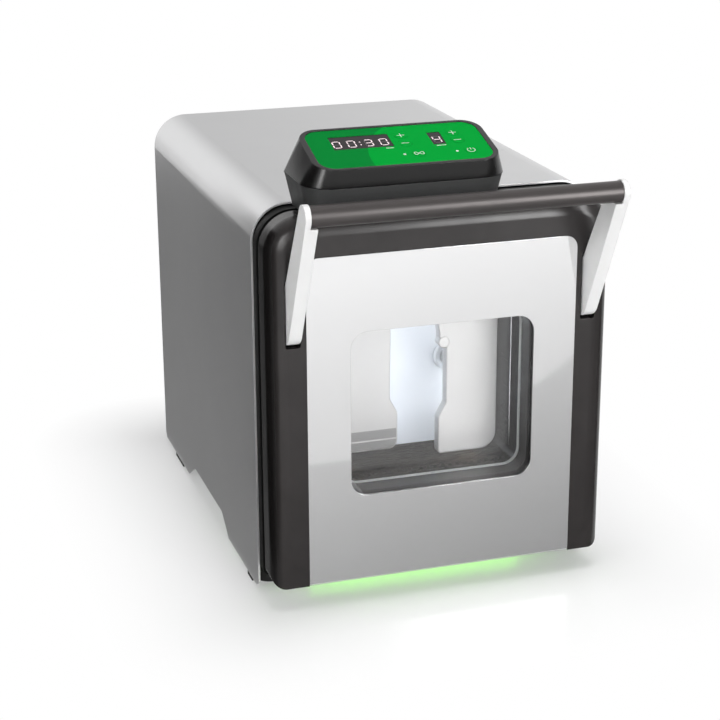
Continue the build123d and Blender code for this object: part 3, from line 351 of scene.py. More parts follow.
def mirror_plate(looks):
    """The face plate: silver sheet under a clear film, nearly a mirror, with faint polishing lines; its cut edges are
    painted near black, a painted shadow.
    """
    finish = Recipe("face_plate_silver", Metallic=looks.plate_mirror)
    base = tuple(looks.plate)
    lines = finish.noise(0.6 * MM, 2, 0.5, (0.04, 1, 1))
    silver = finish.blend(lines, base, [c * 0.985 for c in base])
    # faces that do not look ahead, the plate's cut edges, are painted near black: painted shade
    finish.feed("Base Color", finish.blend(finish.facing(1, -0.6, -0.95), (0.03, 0.03, 0.03), silver))
    finish.rough(60 * MM, 0.045, 0.075, (1, 1, 3))
    finish.soft_edge(0.35 * MM)
    finish.bump(finish.noise(35 * MM, 1), 0.006 * MM)
    return finish.done()


def pane_glass(looks):
    """Clear panes: they reflect for the eye, and let the lamps' light through; their ground edges are matt and painted
    near black, painted shade.
    """
    finish = Recipe("pane_clear", Base_Color=tuple(looks.pane), Transmission_Weight=1.0, IOR=1.45)
    finish.rough(25 * MM, 0.0, 0.02)
    path = finish.node("ShaderNodeLightPath")
    lamp = finish.calc("MAXIMUM", path.outputs["Is Shadow Ray"], path.outputs["Is Diffuse Ray"])
    clear = finish.node("ShaderNodeBsdfTransparent", {"Color": (0.985, 0.985, 0.985, 1.0)})
    inner = finish.node("ShaderNodeMixShader", {0: lamp, 1: finish.shader.outputs["BSDF"],
                                                2: clear.outputs["BSDF"]})
    # the edge faces: a matt ground edge, its near-black colour painted shade
    ground = finish.node("ShaderNodeBsdfDiffuse", {"Color": (0.03, 0.03, 0.03, 1.0), "Roughness": 0.5})
    face = finish.calc("MAXIMUM", finish.facing(1, 0.5, 0.8), finish.facing(1, -0.5, -0.8))
    whole = finish.node("ShaderNodeMixShader", {0: face, 1: ground.outputs["BSDF"], 2: inner.outputs["Shader"]})
    finish.join(whole.outputs["Shader"], finish.output.inputs["Surface"])
    return finish.done()


def rubber(name, base):
    """Dull rubber with a dusty bloom and a grained skin."""
    finish = Recipe(name, Specular_IOR_Level=0.35)
    dust = finish.remap(finish.noise(9 * MM, 5, 0.65), 0.5, 0.75, 0.0, 0.35)
    finish.feed("Base Color", finish.blend(dust, base, (0.06, 0.06, 0.058)))
    finish.rough(5 * MM, 0.62, 0.78)
    finish.soft_edge(0.4 * MM)
    finish.bump(finish.noise(0.4 * MM, 3), 0.02 * MM)
    return finish.done()


def silicone(name, base):
    """Pale sealing plastic with a slight bloom."""
    finish = Recipe(name, Specular_IOR_Level=0.45)
    finish.shaded(base, finish.remap(finish.noise(4 * MM, 4, 0.6), 0.45, 0.75, 0.0, 1.0), 0.9)
    finish.rough(3 * MM, 0.34, 0.48)
    finish.soft_edge(0.3 * MM)
    finish.bump(finish.noise(0.5 * MM, 2), 0.008 * MM)
    return finish.done()


def brushed(name, base, along, roughness, depth=0.004 * MM, metallic=1.0, streaks=0.9, grazing=1.0):
    """Brushed or ground metal; along draws the scratches out, with 1 across them, and grazing dims its low sheen."""
    finish = Recipe(name, Metallic=metallic, Specular_Tint=(grazing, grazing, grazing))
    lines = finish.noise(0.22 * MM, 4, 0.7, along)
    finish.shaded(base, finish.remap(lines, 0.3, 0.7, 0.0, 1.0), streaks)
    finish.rough(0.5 * MM, roughness - 0.04, roughness + 0.06, along)
    finish.soft_edge(0.35 * MM)
    finish.bump(lines, depth)
    return finish.done()


def enamel(looks):
    """The rear wall's pale enamel: glossy, with slight waves and dulled patches; its bright bluish tone is partly
    painted light, the glow of the chamber's interior lamp.
    """
    finish = Recipe("chamber_enamel_painted_glow", Coat_Weight=0.4, Coat_Roughness=0.08)
    # pale wall with a painted bluish glow
    base = tuple(looks.shield)
    finish.shaded(base, finish.remap(finish.noise(40 * MM, 3), 0.4, 0.7, 0.0, 1.0), 0.95)
    finish.rough(18 * MM, 0.28, 0.36)
    finish.soft_edge(0.6 * MM)
    finish.bump(finish.noise(5 * MM, 2), 0.02 * MM)
    return finish.done()


def white_plastic(looks):
    """The arms: satin white plastic, a fine grain and slightly yellowed handling marks."""
    finish = Recipe("arm_white", Specular_IOR_Level=0.45)
    base = tuple(looks.arm)
    marks = finish.remap(finish.noise(22 * MM, 4), 0.55, 0.8, 0.0, 0.6)
    finish.feed("Base Color", finish.blend(marks, base, (base[0] * 0.96, base[1] * 0.955, base[2] * 0.93)))
    finish.rough(10 * MM, 0.30, 0.40)
    finish.soft_edge(0.7 * MM)
    finish.bump(finish.noise(0.6 * MM, 3), 0.006 * MM)
    return finish.done()


def anodised_tube(looks):
    """The bar: dark anodised aluminium with drawn lines along it and a satin sheen."""
    finish = Recipe("bar_anodised", Metallic=0.5)
    base = tuple(looks.bar)
    drawn = (0.015, 1, 1)
    finish.shaded(base, finish.remap(finish.noise(0.5 * MM, 3, 0.6, drawn), 0.35, 0.65, 0.0, 1.0), 0.86)
    finish.rough(3 * MM, 0.34, 0.44, drawn)
    finish.bump(finish.noise(0.3 * MM, 2, 0.5, drawn), 0.004 * MM)
    return finish.done()


def label_film(looks):
    """The keypad's film: two greens that meet along an arc, a fine texture and a soft gloss."""
    finish = Recipe("label_film", Specular_IOR_Level=0.01)
    reach = finish.node("ShaderNodeVectorMath", {0: finish.place, 1: tuple(label_place(*ARC_CENTRE))},
                        operation="DISTANCE").outputs["Value"]
    outside = finish.remap(reach, ARC_RADIUS - 0.15 * MM, ARC_RADIUS + 0.15 * MM, 1.0, 0.0)
    light, dark = tuple(looks.green), tuple(looks.dark_green)
    finish.feed("Base Color", finish.blend(outside, dark, light))
    finish.rough(6 * MM, 0.42, 0.5)
    finish.bump(finish.noise(0.35 * MM, 2), 0.004 * MM)
    return finish.done()


def smoked_window():
    """A display's smoked window: near black, glossy, with a faint violet depth."""
    finish = Recipe("display_smoked", Specular_IOR_Level=0.2)
    finish.shaded((0.014, 0.010, 0.012), finish.remap(finish.noise(6 * MM, 2), 0.3, 0.7, 0.0, 1.0), 0.7)
    finish.rough(4 * MM, 0.16, 0.24)
    return finish.done()


def glossy_shell(looks):
    """The control unit's upper shell: dark plastic, smoother than the door."""
    finish = Recipe("shell_gloss", Specular_IOR_Level=0.38)
    base = tuple(looks.shell)
    worn = finish.edge_wear(0.8 * MM)
    finish.feed("Base Color", finish.blend(finish.calc("MULTIPLY", worn, 0.25), base, (0.04, 0.036, 0.036)))
    finish.rough(12 * MM, 0.21, 0.27)
    finish.soft_edge(1.0 * MM)
    finish.bump(finish.noise(0.7 * MM, 3), 0.010 * MM)
    return finish.done()


def matt_shell(looks):
    """The pedestal: matt plastic with a clear spark-eroded grain."""
    finish = Recipe("pedestal_matt", Specular_IOR_Level=0.45)
    base = tuple(looks.pedestal)
    speckle = finish.noise(0.9 * MM, 3, 0.7)
    finish.shaded(base, finish.remap(speckle, 0.35, 0.65, 0.0, 1.0), 0.78)
    finish.rough(10 * MM, 0.46, 0.56)
    finish.soft_edge(0.6 * MM)
    finish.bump(speckle, 0.03 * MM)
    return finish.done()


def printed_ink(looks):
    """White ink of the key symbols, a little uneven in its cover."""
    finish = Recipe("symbol_ink")
    finish.shaded(tuple(looks.ink), finish.remap(finish.noise(0.5 * MM, 3), 0.45, 0.7, 0.0, 1.0), 0.93)
    finish.rough(2 * MM, 0.42, 0.55)
    finish.bump(finish.noise(0.2 * MM, 2), 0.003 * MM)
    return finish.done()


def segment_light(name, glow, strength, base):
    """A display segment, lit or unlit, with a slightly uneven glow; on an unlit segment the faint glow is painted
    light.
    """
    finish = Recipe(name, Emission_Color=glow)
    finish.feed("Emission Strength", finish.remap(finish.noise(1.2 * MM, 1), 0.3, 0.7, strength * 0.85, strength))
    finish.shaded(base, finish.noise(0.8 * MM, 1), 0.9)
    finish.rough(2 * MM, 0.3, 0.4)
    return finish.done()


def cast_metal():
    """Cast and machined aluminium: a pebbled skin with dull patches."""
    finish = Recipe("cast_aluminium", Metallic=1.0)
    pebbles = finish.noise(0.9 * MM, 4, 0.6)
    finish.shaded((0.62, 0.625, 0.63), finish.remap(finish.noise(16 * MM, 4), 0.35, 0.7, 0.0, 1.0), 0.82)
    finish.rough(7 * MM, 0.38, 0.52)
    finish.soft_edge(0.8 * MM)
    finish.bump(pebbles, 0.05 * MM)
    return finish.done()


def zinc_sheet():
    """Zinc-plated sheet with its crystal spangle."""
    finish = Recipe("zinc_sheet", Metallic=0.9)
    spangle = finish.cells(9 * MM).outputs["Color"]
    tint = finish.node("ShaderNodeSeparateColor", {"Color": spangle}).outputs[0]
    finish.shaded((0.56, 0.575, 0.58), tint, 0.84)
    finish.feed("Roughness", finish.remap(tint, 0.0, 1.0, 0.34, 0.48))
    finish.soft_edge(0.4 * MM)
    finish.bump(finish.noise(1.5 * MM, 2), 0.008 * MM)
    return finish.done()


def bronze():
    """Sintered bronze, porous and slightly oily."""
    finish = Recipe("sintered_bronze", Metallic=1.0)
    finish.shaded((0.62, 0.42, 0.22), finish.noise(0.8 * MM, 4, 0.7), 0.7)
    finish.rough(3 * MM, 0.34, 0.5)
    finish.bump(finish.noise(0.3 * MM, 3), 0.02 * MM)
    return finish.done()


def motor_lacquer():
    """Black stove enamel of the motor, with a fine hammered skin."""
    finish = Recipe("motor_lacquer", Coat_Weight=0.3, Coat_Roughness=0.25)
    finish.shaded((0.028, 0.03, 0.032), finish.noise(12 * MM, 3), 0.7)
    finish.rough(4 * MM, 0.4, 0.52)
    finish.soft_edge(0.5 * MM)
    finish.bump(finish.cells(2.2 * MM, "SMOOTH_F1").outputs["Distance"], 0.12 * MM)
    return finish.done()


def light_bar(looks):
    """The glowing bar under the front: a frosted strip with a lamp behind each few centimetres."""
    finish = Recipe("light_bar", Base_Color=(0.55, 0.9, 0.45), Emission_Color=tuple(looks.glow))
    along = finish.node("ShaderNodeSeparateXYZ", {0: finish.place}).outputs["X"]
    beads = finish.calc("SINE", finish.calc("MULTIPLY", along, 2 * math.pi / (14 * MM)))
    strength = looks.glow_strength
    finish.feed("Emission Strength", finish.remap(beads, -1.0, 1.0, strength * 0.8, strength * 1.15))
    finish.rough(3 * MM, 0.45, 0.6)
    return finish.done()


def circuit_board():
    """Green solder resist with fine tracks."""
    finish = Recipe("circuit_board", Coat_Weight=0.3, Coat_Roughness=0.2)
    tracks = finish.node("ShaderNodeTexBrick", {"Vector": finish.place, "Scale": 1 / (9 * MM),
                                                "Mortar Size": 0.05}).outputs["Fac"]
    finish.feed("Base Color", finish.blend(tracks, (0.01, 0.09, 0.035), (0.03, 0.2, 0.08)))
    finish.rough(3 * MM, 0.3, 0.42)
    finish.bump(tracks, 0.02 * MM)
    return finish.done()


def inlet_plastic():
    """Black moulded plastic of the mains module."""
    finish = Recipe("inlet_plastic")
    finish.shaded((0.016, 0.016, 0.017), finish.noise(8 * MM, 3), 0.75)
    finish.rough(6 * MM, 0.34, 0.46)
    finish.soft_edge(0.5 * MM)
    finish.bump(finish.noise(0.45 * MM, 3), 0.012 * MM)
    return finish.done()


# ------------------------------------------------------------------ making pieces
def dress(material, *nodes):
    """Gives carried-over pieces of the frame this finish."""
    for name in nodes:
        mesh = frame["nodes"][name].data
        mesh.materials.clear()
        mesh.materials.append(material)


def dress_slot(material, slot, among=None):
    dress(material, *[n for n, s in SLOT_OF.items() if s == slot and (among is None or n in among)])


def finished_piece(name, mesh_builder, material, body):
    """Turns a filled bmesh into a piece that rides on a body."""
    mesh = bpy.data.meshes.new(name)
    bmesh.ops.recalc_face_normals(mesh_builder, faces=mesh_builder.faces)
    mesh_builder.to_mesh(mesh)
    mesh_builder.free()
    mesh.materials.append(material)
    piece = bpy.data.objects.new(name, mesh)
    bpy.context.scene.collection.objects.link(piece)
    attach(piece, body)
    return piece


def label_place(across, along, rise=0.0):
    """A point of the label: across from its middle, along from its front edge, and this far out of it."""
    slope = Vector((0, math.cos(LABEL_TILT), math.sin(LABEL_TILT)))
    out = Vector((0, -math.sin(LABEL_TILT), math.cos(LABEL_TILT)))
    rear_edge = Vector(((LABEL_BOX[0].x + LABEL_BOX[1].x) / 2,
                        LABEL_BOX[1].y - LABEL_FILM * math.sin(LABEL_TILT), LABEL_BOX[1].z))
    return rear_edge + Vector((across, 0, 0)) + slope * (along - LABEL_LENGTH) + out * rise


def on_label(node, half_length, rise):
    """Where a key or a display sits on the label: across and along of its middle."""
    low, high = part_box(node)
    front = label_place(0, 0)
    along = (high.z - front.z - rise * math.cos(LABEL_TILT)) / math.sin(LABEL_TILT) - half_length
    return (low.x + high.x) / 2 - front.x, along


ARC_CENTRE = (31.0 * MM, 8.6 * MM)   # the two greens of the label meet on this circle
ARC_RADIUS = 56.1 * MM


def slab(shape, outline, near, far):
    """Adds an upright plate: an outline of (x, z) points, counter-clockwise from the front, between two y."""
    front, back = ([shape.verts.new((x, y, z)) for x, z in outline] for y in (near, far))
    shape.faces.new(front)
    shape.faces.new(reversed(back))
    for i, corner in enumerate(front):
        j = (i + 1) % len(front)
        shape.faces.new((corner, back[i], back[j], front[j]))


def skin(shape, rings, closed=False):
    """Joins rings of points with faces, from each to the next, and caps the ends where they don't close."""
    count, sides = len(rings), len(rings[0])
    for i in range(count if closed else count - 1):
        one, two = rings[i], rings[(i + 1) % count]
        for k in range(sides):
            shape.faces.new((one[k], one[(k + 1) % sides], two[(k + 1) % sides], two[k]))
    if not closed:
        shape.faces.new(reversed(rings[0]))
        shape.faces.new(rings[-1])


def round_turns(sides):
    return [2 * math.pi * k / sides for k in range(sides)]


def bead(shape, centre, low, high, radius, sides=8):
    """Adds an upright round bead, half of it let into the wall that it stands on."""
    skin(shape, [[shape.verts.new((centre[0] + radius * math.cos(a), centre[1] + radius * math.sin(a), height))
                  for a in round_turns(sides)] for height in (low, high)])


def coil(shape, centre, radius, wire, low, high, turns, steps=20, sides=8):
    """Adds an upright spring of round wire."""
    rings = []
    for i in range(turns * steps + 1):
        turn = 2 * math.pi * i / steps
        out = Vector((math.cos(turn), math.sin(turn), 0))
        along = Vector((-out.y * radius, out.x * radius, (high - low) / (2 * math.pi * turns))).normalized()
        across = out.cross(along)
        middle = Vector((*centre, low + (high - low) * i / (turns * steps))) + out * radius
        rings.append([shape.verts.new(middle + wire * (math.cos(a) * out + math.sin(a) * across))
                      for a in round_turns(sides)])
    skin(shape, rings)


def ribbon(shape, path, width, low, high, closed=False):
    """Adds a flat band of this width along a path of label points, between two rises."""
    count = len(path)
    rings = []
    for i, point in enumerate(path):
        before = path[(i - 1) % count] if closed or i else point
        after = path[(i + 1) % count] if closed or i < count - 1 else point
        heading = (Vector(after) - Vector(before)).normalized()
        side = Vector((-heading.y, heading.x)) * width / 2
        left, right = Vector(point) + side, Vector(point) - side
        rings.append([shape.verts.new(label_place(p.x, p.y, rise))
                      for p, rise in ((left, low), (right, low), (right, high), (left, high))])
    skin(shape, rings, closed)


def arc_path(centre, radius, start, end, steps):
    """Points on a circle between two angles in degrees."""
    turns = [math.radians(start + (end - start) * i / steps) for i in range(steps + 1)]
    return [(centre[0] + radius * math.cos(a), centre[1] + radius * math.sin(a)) for a in turns]


def loop_path(centre, half_width, half_height, steps):
    """The endless sign: a figure of eight laid on its side, drawn by one formula."""
    path = []
    for i in range(steps):
        turn = 2 * math.pi * i / steps
        path.append((centre[0] + half_width * math.cos(turn),
                     centre[1] + half_height * math.sin(2 * turn)))
    return path


SYMBOL_HALF = 2.7 * MM
STROKE_WIDTH = 0.52 * MM
INK_LOW, INK_HIGH = 0.0, 0.03 * MM
CROSSED_PART = 0.3                   # share of a stroke at the endless sign's crossing; the sign's strokes lie flat there


def symbol_strokes(kind, centre):
    """The strokes of a key's symbol: a list of paths, each with whether it closes."""
    x, y = centre
    dash = [(x - SYMBOL_HALF, y), (x + SYMBOL_HALF, y)]
    if kind == "minus":
        return [(dash, False)]
    if kind == "plus":
        gap = STROKE_WIDTH / 2
        return [(dash, False), ([(x, y - SYMBOL_HALF), (x, y - gap)], False),
                ([(x, y + gap), (x, y + SYMBOL_HALF)], False)]
    if kind == "endless":
        return [(loop_path(centre, 1.25 * SYMBOL_HALF, 0.62 * SYMBOL_HALF, 48), True)]
    return [(arc_path(centre, SYMBOL_HALF, 125, 415, 40), False),
            ([(x, y + 0.1 * SYMBOL_HALF), (x, y + 1.15 * SYMBOL_HALF)], False)]


SYMBOLS = {"time_up": "plus", "time_down": "minus", "speed_up": "plus", "speed_down": "minus",
           "continuous": "endless", "power": "power"}

# Which of the seven segments each digit lights, top, upper right, lower right, foot, lower left, upper left, middle
SEGMENTS = {"0": "abcdef", "1": "bc", "2": "abged", "3": "abgcd", "4": "fgbc", "5": "afgcd", "6": "afgedc",
            "7": "abc", "8": "abcdefg", "9": "abfgcd"}
DIGIT_HALF = 2.55 * MM               # half a digit's width, to the middle of its segments
DIGIT_RISE = 4.3 * MM                # half its height
SEGMENT_WIDTH = 0.82 * MM
SEGMENT_GAP = 0.52 * MM
TIME_DIGITS = (-17.6 * MM, -7.1 * MM, 5.2 * MM, 15.9 * MM)   # from the middle of the time display
COLON_PLACE = -0.9 * MM
DIGIT_DROP = -1.6 * MM               # the digits sit this far towards the front of their window


def segment_path(letter, centre):
    x, y = centre
    w, h, g = DIGIT_HALF, DIGIT_RISE, SEGMENT_GAP
    ends = {"a": ((x - w + g, y + h), (x + w - g, y + h)), "b": ((x + w, y + h - g), (x + w, y + g)),
            "c": ((x + w, y - g), (x + w, y - h + g)), "d": ((x - w + g, y - h), (x + w - g, y - h)),
            "e": ((x - w, y - g), (x - w, y - h + g)), "f": ((x - w, y + h - g), (x - w, y + g)),
            "g": ((x - w + g, y), (x + w - g, y))}
    return list(ends[letter])


class Dresser:
    """What the operators share: they are run once, from the panel or from main."""
    bl_options = {"REGISTER", "UNDO"}


class PADDLE_OT_casing(Dresser, bpy.types.Operator):
    """Lacquer the outer cover and the rear panel, and finish the chassis below"""
    bl_idname = "paddle_blender.casing"
    bl_label = "Casing"

    def execute(self, context):
        looks = context.scene.casing_looks
        dress_slot(lacquered_sheet(looks), "casing_silver")
        dress_slot(rubber("feet_rubber", tuple(looks.feet)), "black_rubber")
        dress_slot(zinc_sheet(), "zinc_plate")
        dress_slot(inlet_plastic(), "inlet_black")
        return {"FINISHED"}


class PADDLE_OT_door(Dresser, bpy.types.Operator):
    """Finish the door, the fixed front frame and the face plate"""
    bl_idname = "paddle_blender.door"
    bl_label = "Door and front frame"

    def execute(self, context):
        looks = context.scene.door_looks
        dress_slot(dark_moulding("dark_moulding", tuple(looks.moulding), looks.moulding_roughness, 0.4, crowned=True),
                   "frame_anthracite")
        dress(dark_moulding("black_moulding", tuple(looks.frame), 0.42, 0.05), "front_frame")
        dress_slot(silicone("gasket_pale", (0.62, 0.64, 0.64)), "gasket_pale")
        dress_slot(mirror_plate(looks), "face_silver")
        dress_slot(pane_glass(looks), "window_clear")
        return {"FINISHED"}


class PADDLE_OT_handle(Dresser, bpy.types.Operator):
    """Finish the handle bar and its two arms, and wind the latch springs"""
    bl_idname = "paddle_blender.handle"
    bl_label = "Handle"

    def execute(self, context):
        looks = context.scene.handle_looks
        dress_slot(anodised_tube(looks), "bar_tube")
        dress_slot(white_plastic(looks), "arm_white")
        self.wind_springs(brushed("spring_steel", (0.5, 0.5, 0.51), (1, 1, 0.05), 0.28))
        return {"FINISHED"}

    def wind_springs(self, steel):
        """The two coils behind the arms that press the hooks down; on the machine the turning hooks close them, here
        they are fixed pieces riding on the door.
        """
        low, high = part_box("latch_springs")
        middle = (low + high) / 2
        wire = 0.5 * MM
        radius = (high.y - low.y) / 2 - wire
        shape = bmesh.new()
        for side in (-1, 1):
            centre = (side * (high.x - radius - wire), middle.y)
            coil(shape, centre, radius, wire, low.z + wire, high.z - wire, SPRING_TURNS)
        coils = finished_piece("latch_coils", shape, steel, "door")
        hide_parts("latch_springs")
        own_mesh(coils)


class PADDLE_OT_chamber(Dresser, bpy.types.Operator):
    """Finish the chamber, its tray and the paddles"""
    bl_idname = "paddle_blender.chamber"
    bl_label = "Chamber and paddles"

    def execute(self, context):
        looks = context.scene.chamber_looks
        for slot in ("chamber_bright", "seal_white"):
            dress_slot(enamel(looks), slot)
        dress_slot(brushed("liner_steel", tuple(looks.liner), (1, 0.04, 1), 0.3, grazing=0.35), "chamber_steel")
        satin = brushed("paddle_steel", tuple(looks.paddle), (1, 1, 0.03), 0.34, 0.0005 * MM, 0.6, 0.985)
        dress(satin, "left_paddle", "right_paddle")
        dress(brushed("tray_steel", tuple(looks.tray), (0.04, 1, 1), 0.26, grazing=0.35), "drip_tray")
        # the beads' bright steel paints a highlight line up each dark wall
        self.trim_walls(brushed("bead_steel_painted_highlight", (0.8, 0.8, 0.8), (1, 1, 0.05), 0.2))
        # darker bands laid on the left paddle: a painted reflection
        self.lay_reflection_bands(brushed("band_steel", tuple(looks.band), (0.03, 1, 1), 0.36, 0.001 * MM, 0.5, 0.94))
        return {"FINISHED"}

    def lay_reflection_bands(self, steel):
        """Two darker bands across the foot of the left paddle, the lower one round at its inner corner: a painted
        reflection of the tray's front bar.
        """
        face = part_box("left_paddle")[0].y
        shape = bmesh.new()
        for low, high in BANDS:
            edge = []
            for step in range(7):
                height = low + (high - low) * step / 6
                drop = max(0.0, BAND_CORNER[1] - height)
                edge.append((BAND_CORNER[0] + math.sqrt(BAND_ROUNDING ** 2 - drop ** 2), height))
            outline = [(BAND_OUTER, high), (BAND_OUTER, low), *edge]
            slab(shape, outline, face - 0.12 * MM, face + 0.05 * MM)
        finished_piece("paddle_reflection_bands", shape, steel, "left_beater")

    def trim_walls(self, steel):
        """A thin rolled bead up each side wall of the chamber: partly a real bead, partly a painted highlight line, its
        steel far brighter than the liner's.
        """
        shape = bmesh.new()
        for side in (-1, 1):
            wall = side * CHAMBER_HALF
            bead(shape, (wall, FACE_Y + BEAD_DEPTH), CHAMBER_LOW + 6 * MM, CHAMBER_TOP - 1 * MM, 0.6 * MM)
        finished_piece("liner_beads", shape, steel, "base")


class PADDLE_OT_drive(Dresser, bpy.types.Operator):
    """Finish the crank, the rods, the motor and what carries them"""
    bl_idname = "paddle_blender.drive"
    bl_label = "Drive"

    def execute(self, context):
        dress_slot(brushed("ground_steel", (0.56, 0.57, 0.58), (0.05, 1, 1), 0.25), "steel_bright")
        dress_slot(cast_metal(), "cast_aluminium")
        dress_slot(bronze(), "bearing_bronze")
        dress_slot(motor_lacquer(), "motor_paint")
        return {"FINISHED"}


class PADDLE_OT_control(Dresser, bpy.types.Operator):
    """Finish the control unit's two shells, its label and its board"""
    bl_idname = "paddle_blender.control"
    bl_label = "Control unit"

    def execute(self, context):
        looks = context.scene.control_looks
        dress_slot(glossy_shell(looks), "unit_gloss")
        dress_slot(matt_shell(looks), "unit_matt")
        dress_slot(label_film(looks), "label_green")
        dress_slot(smoked_window(), "display_black")
        dress_slot(circuit_board(), "board_green")
        return {"FINISHED"}


class PADDLE_OT_symbols(Dresser, bpy.types.Operator):
    """Print the key symbols, the pilot dots and the short rules under the displays"""
    bl_idname = "paddle_blender.symbols"
    bl_label = "Key symbols"

    def execute(self, context):
        ink = printed_ink(context.scene.control_looks)
        for key, kind in SYMBOLS.items():
            centre = on_label(f"{key}_key", KEY_RADIUS, KEY_RISE)
            shape = bmesh.new()
            for path, closed in symbol_strokes(kind, centre):
                ribbon(shape, path, STROKE_WIDTH, KEY_RISE + INK_LOW, KEY_RISE + INK_HIGH, closed)
            finished_piece(f"{key}_symbol", shape, ink, f"{key}_button")
        self.print_dots(ink)
        return {"FINISHED"}

    def print_dots(self, ink):
        shape = bmesh.new()
        for centre in ((-0.2 * MM, 13.3 * MM), (37.4 * MM, 12.6 * MM)):
            ribbon(shape, arc_path(centre, 0.5 * MM, 0, 337.5, 15), 0.96 * MM, 0.0, 0.06 * MM, closed=True)
        for left, right, along in ((-10.2, -4.6, 23.4), (25.9, 32.6, 22.2)):
            ribbon(shape, [(left * MM, along * MM), (right * MM, along * MM)], 0.7 * MM, 0.0, INK_HIGH)
        finished_piece("label_marks", shape, ink, "base")


class PADDLE_OT_digits(Dresser, bpy.types.Operator):
    """Lay the seven-segment digits on the two displays"""
    bl_idname = "paddle_blender.digits"
    bl_label = "Display digits"

    def execute(self, context):
        looks = context.scene.control_looks
        lit = segment_light("segment_lit", tuple(looks.lit), 0.5, (0.6, 0.5, 0.52))
        # the unlit segments still emit faintly: a painted glow
        unlit = segment_light("segment_unlit", (0.3, 0.25, 0.27), 0.05, (0.03, 0.024, 0.027))
        x, y = on_label("time_display", 8.95 * MM, DISPLAY_RISE)
        places = [(x + offset, y + DIGIT_DROP) for offset in TIME_DIGITS]
        self.lay("time_digits", zip(looks.time, places), lit, unlit, (x + COLON_PLACE, y + DIGIT_DROP))
        x, y = on_label("speed_display", 8.65 * MM, DISPLAY_RISE)
        self.lay("speed_digit", [(looks.speed, (x, y + DIGIT_DROP))], lit, unlit)
        return {"FINISHED"}

    def lay(self, name, digits, lit, unlit, colon=None):
        shapes = {"lit": bmesh.new(), "unlit": bmesh.new()}
        for digit, centre in digits:
            for letter in "abcdefg":
                state = "lit" if letter in SEGMENTS[digit] else "unlit"
                ribbon(shapes[state], segment_path(letter, centre), SEGMENT_WIDTH,
                       DISPLAY_RISE, DISPLAY_RISE + INK_HIGH)
        if colon:
            for step in (-0.45, 0.45):
                middle = colon[1] + step * DIGIT_RISE
                ribbon(shapes["lit"], [(colon[0] - 0.5 * MM, middle), (colon[0] + 0.5 * MM, middle)], 1.0 * MM,
                       DISPLAY_RISE, DISPLAY_RISE + INK_HIGH)
        finished_piece(f"{name}_lit", shapes["lit"], lit, "base")
        finished_piece(f"{name}_unlit", shapes["unlit"], unlit, "base")


class PADDLE_OT_glow(Dresser, bpy.types.Operator):
    """Light the bar under the front"""
    bl_idname = "paddle_blender.glow"
    bl_label = "Light bar"

    def execute(self, context):
        dress_slot(light_bar(context.scene.stage_looks), "light_green")
        return {"FINISHED"}


# ------------------------------------------------------------------ stage
def staged(name, corners, material):
    """A flat stage piece through these corners."""
    mesh = bpy.data.meshes.new(name)
    mesh.from_pydata(corners, [], [range(len(corners))])
    mesh.materials.append(material)
    piece = bpy.data.objects.new(name, mesh)
    bpy.context.scene.collection.objects.link(piece)
    return piece


def seen_white(recipe, path):
    """High for the rays that look at the background: from the camera, off gloss and through glass."""
    first = recipe.calc("MAXIMUM", path.outputs["Is Camera Ray"], path.outputs["Is Glossy Ray"])
    return recipe.calc("MAXIMUM", first, path.outputs["Is Transmission Ray"])


def floor_finish(looks):
    """A pale floor with a faint gloss that turns to plain white away from the machine."""
    finish = Recipe("floor_pale", Base_Color=tuple(looks.floor), Roughness=0.16, IOR=1.16)
    reach = finish.beyond((0, 20 * MM, 0), (CASING_HALF, 190 * MM, 1.0))
    far = finish.remap(reach, 0.0, 0.12, 0.3, 1.0)
    white = finish.node("ShaderNodeEmission", {"Color": (1, 1, 1, 1), "Strength": 1.0})
    path = finish.node("ShaderNodeLightPath")
    factor = finish.calc("MULTIPLY", far, seen_white(finish, path))
    mixed = finish.node("ShaderNodeMixShader", {0: factor, 1: finish.shader.outputs["BSDF"],
                                                2: white.outputs["Emission"]})
    finish.join(mixed.outputs["Shader"], finish.output.inputs["Surface"])
    return finish.done()


def card_finish(name, across, reach, near, far):
    """A card's light, upwards only: graded from near to far over this reach in the direction across."""
    finish = Recipe(name)
    away = finish.node("ShaderNodeVectorMath", {0: finish.place, 1: across}, operation="DOT_PRODUCT")
    strength = finish.remap(away.outputs["Value"], *reach, near, far)
    light = finish.node("ShaderNodeEmission", {"Color": (1, 1, 1, 1), "Strength": strength})
    clear = finish.node("ShaderNodeBsdfTransparent")
    below = finish.node("ShaderNodeNewGeometry").outputs["Backfacing"]
    mixed = finish.node("ShaderNodeMixShader", {0: below, 1: light.outputs["Emission"],
                                                2: clear.outputs["BSDF"]})
    finish.join(mixed.outputs["Shader"], finish.output.inputs["Surface"])
    return finish.done()


SWEEP_CENTRE = (-88 * MM, 440 * MM)  # x and z: the reflected edge is an arc of this circle on the face plate
SWEEP_RADIUS = 327 * MM
CARD_HEIGHT = 1.5 * MM
CASING_HALF = 130 * MM


def sweep_on_floor(eye, steps=28):
    """The arc on the face plate, thrown by its mirror onto a card that lies on the floor before the machine."""
    mirrored = Vector((eye[0], 2 * FACE_Y - eye[1], eye[2]))
    points = []
    for i in range(steps + 1):
        across = (-150 + 320 * i / steps) * MM
        rise = SWEEP_CENTRE[1] - math.sqrt(SWEEP_RADIUS ** 2 - (across - SWEEP_CENTRE[0]) ** 2)
        on_plate = Vector((across, FACE_Y, rise))
        ray = on_plate - mirrored
        points.append(mirrored + ray * ((CARD_HEIGHT - mirrored.z) / ray.z))
    return points


def card(name, corners, material):
    piece = staged(name, corners, material)
    piece.visible_camera = piece.visible_diffuse = piece.visible_shadow = False
    piece.visible_transmission = piece.visible_volume_scatter = False
    return piece


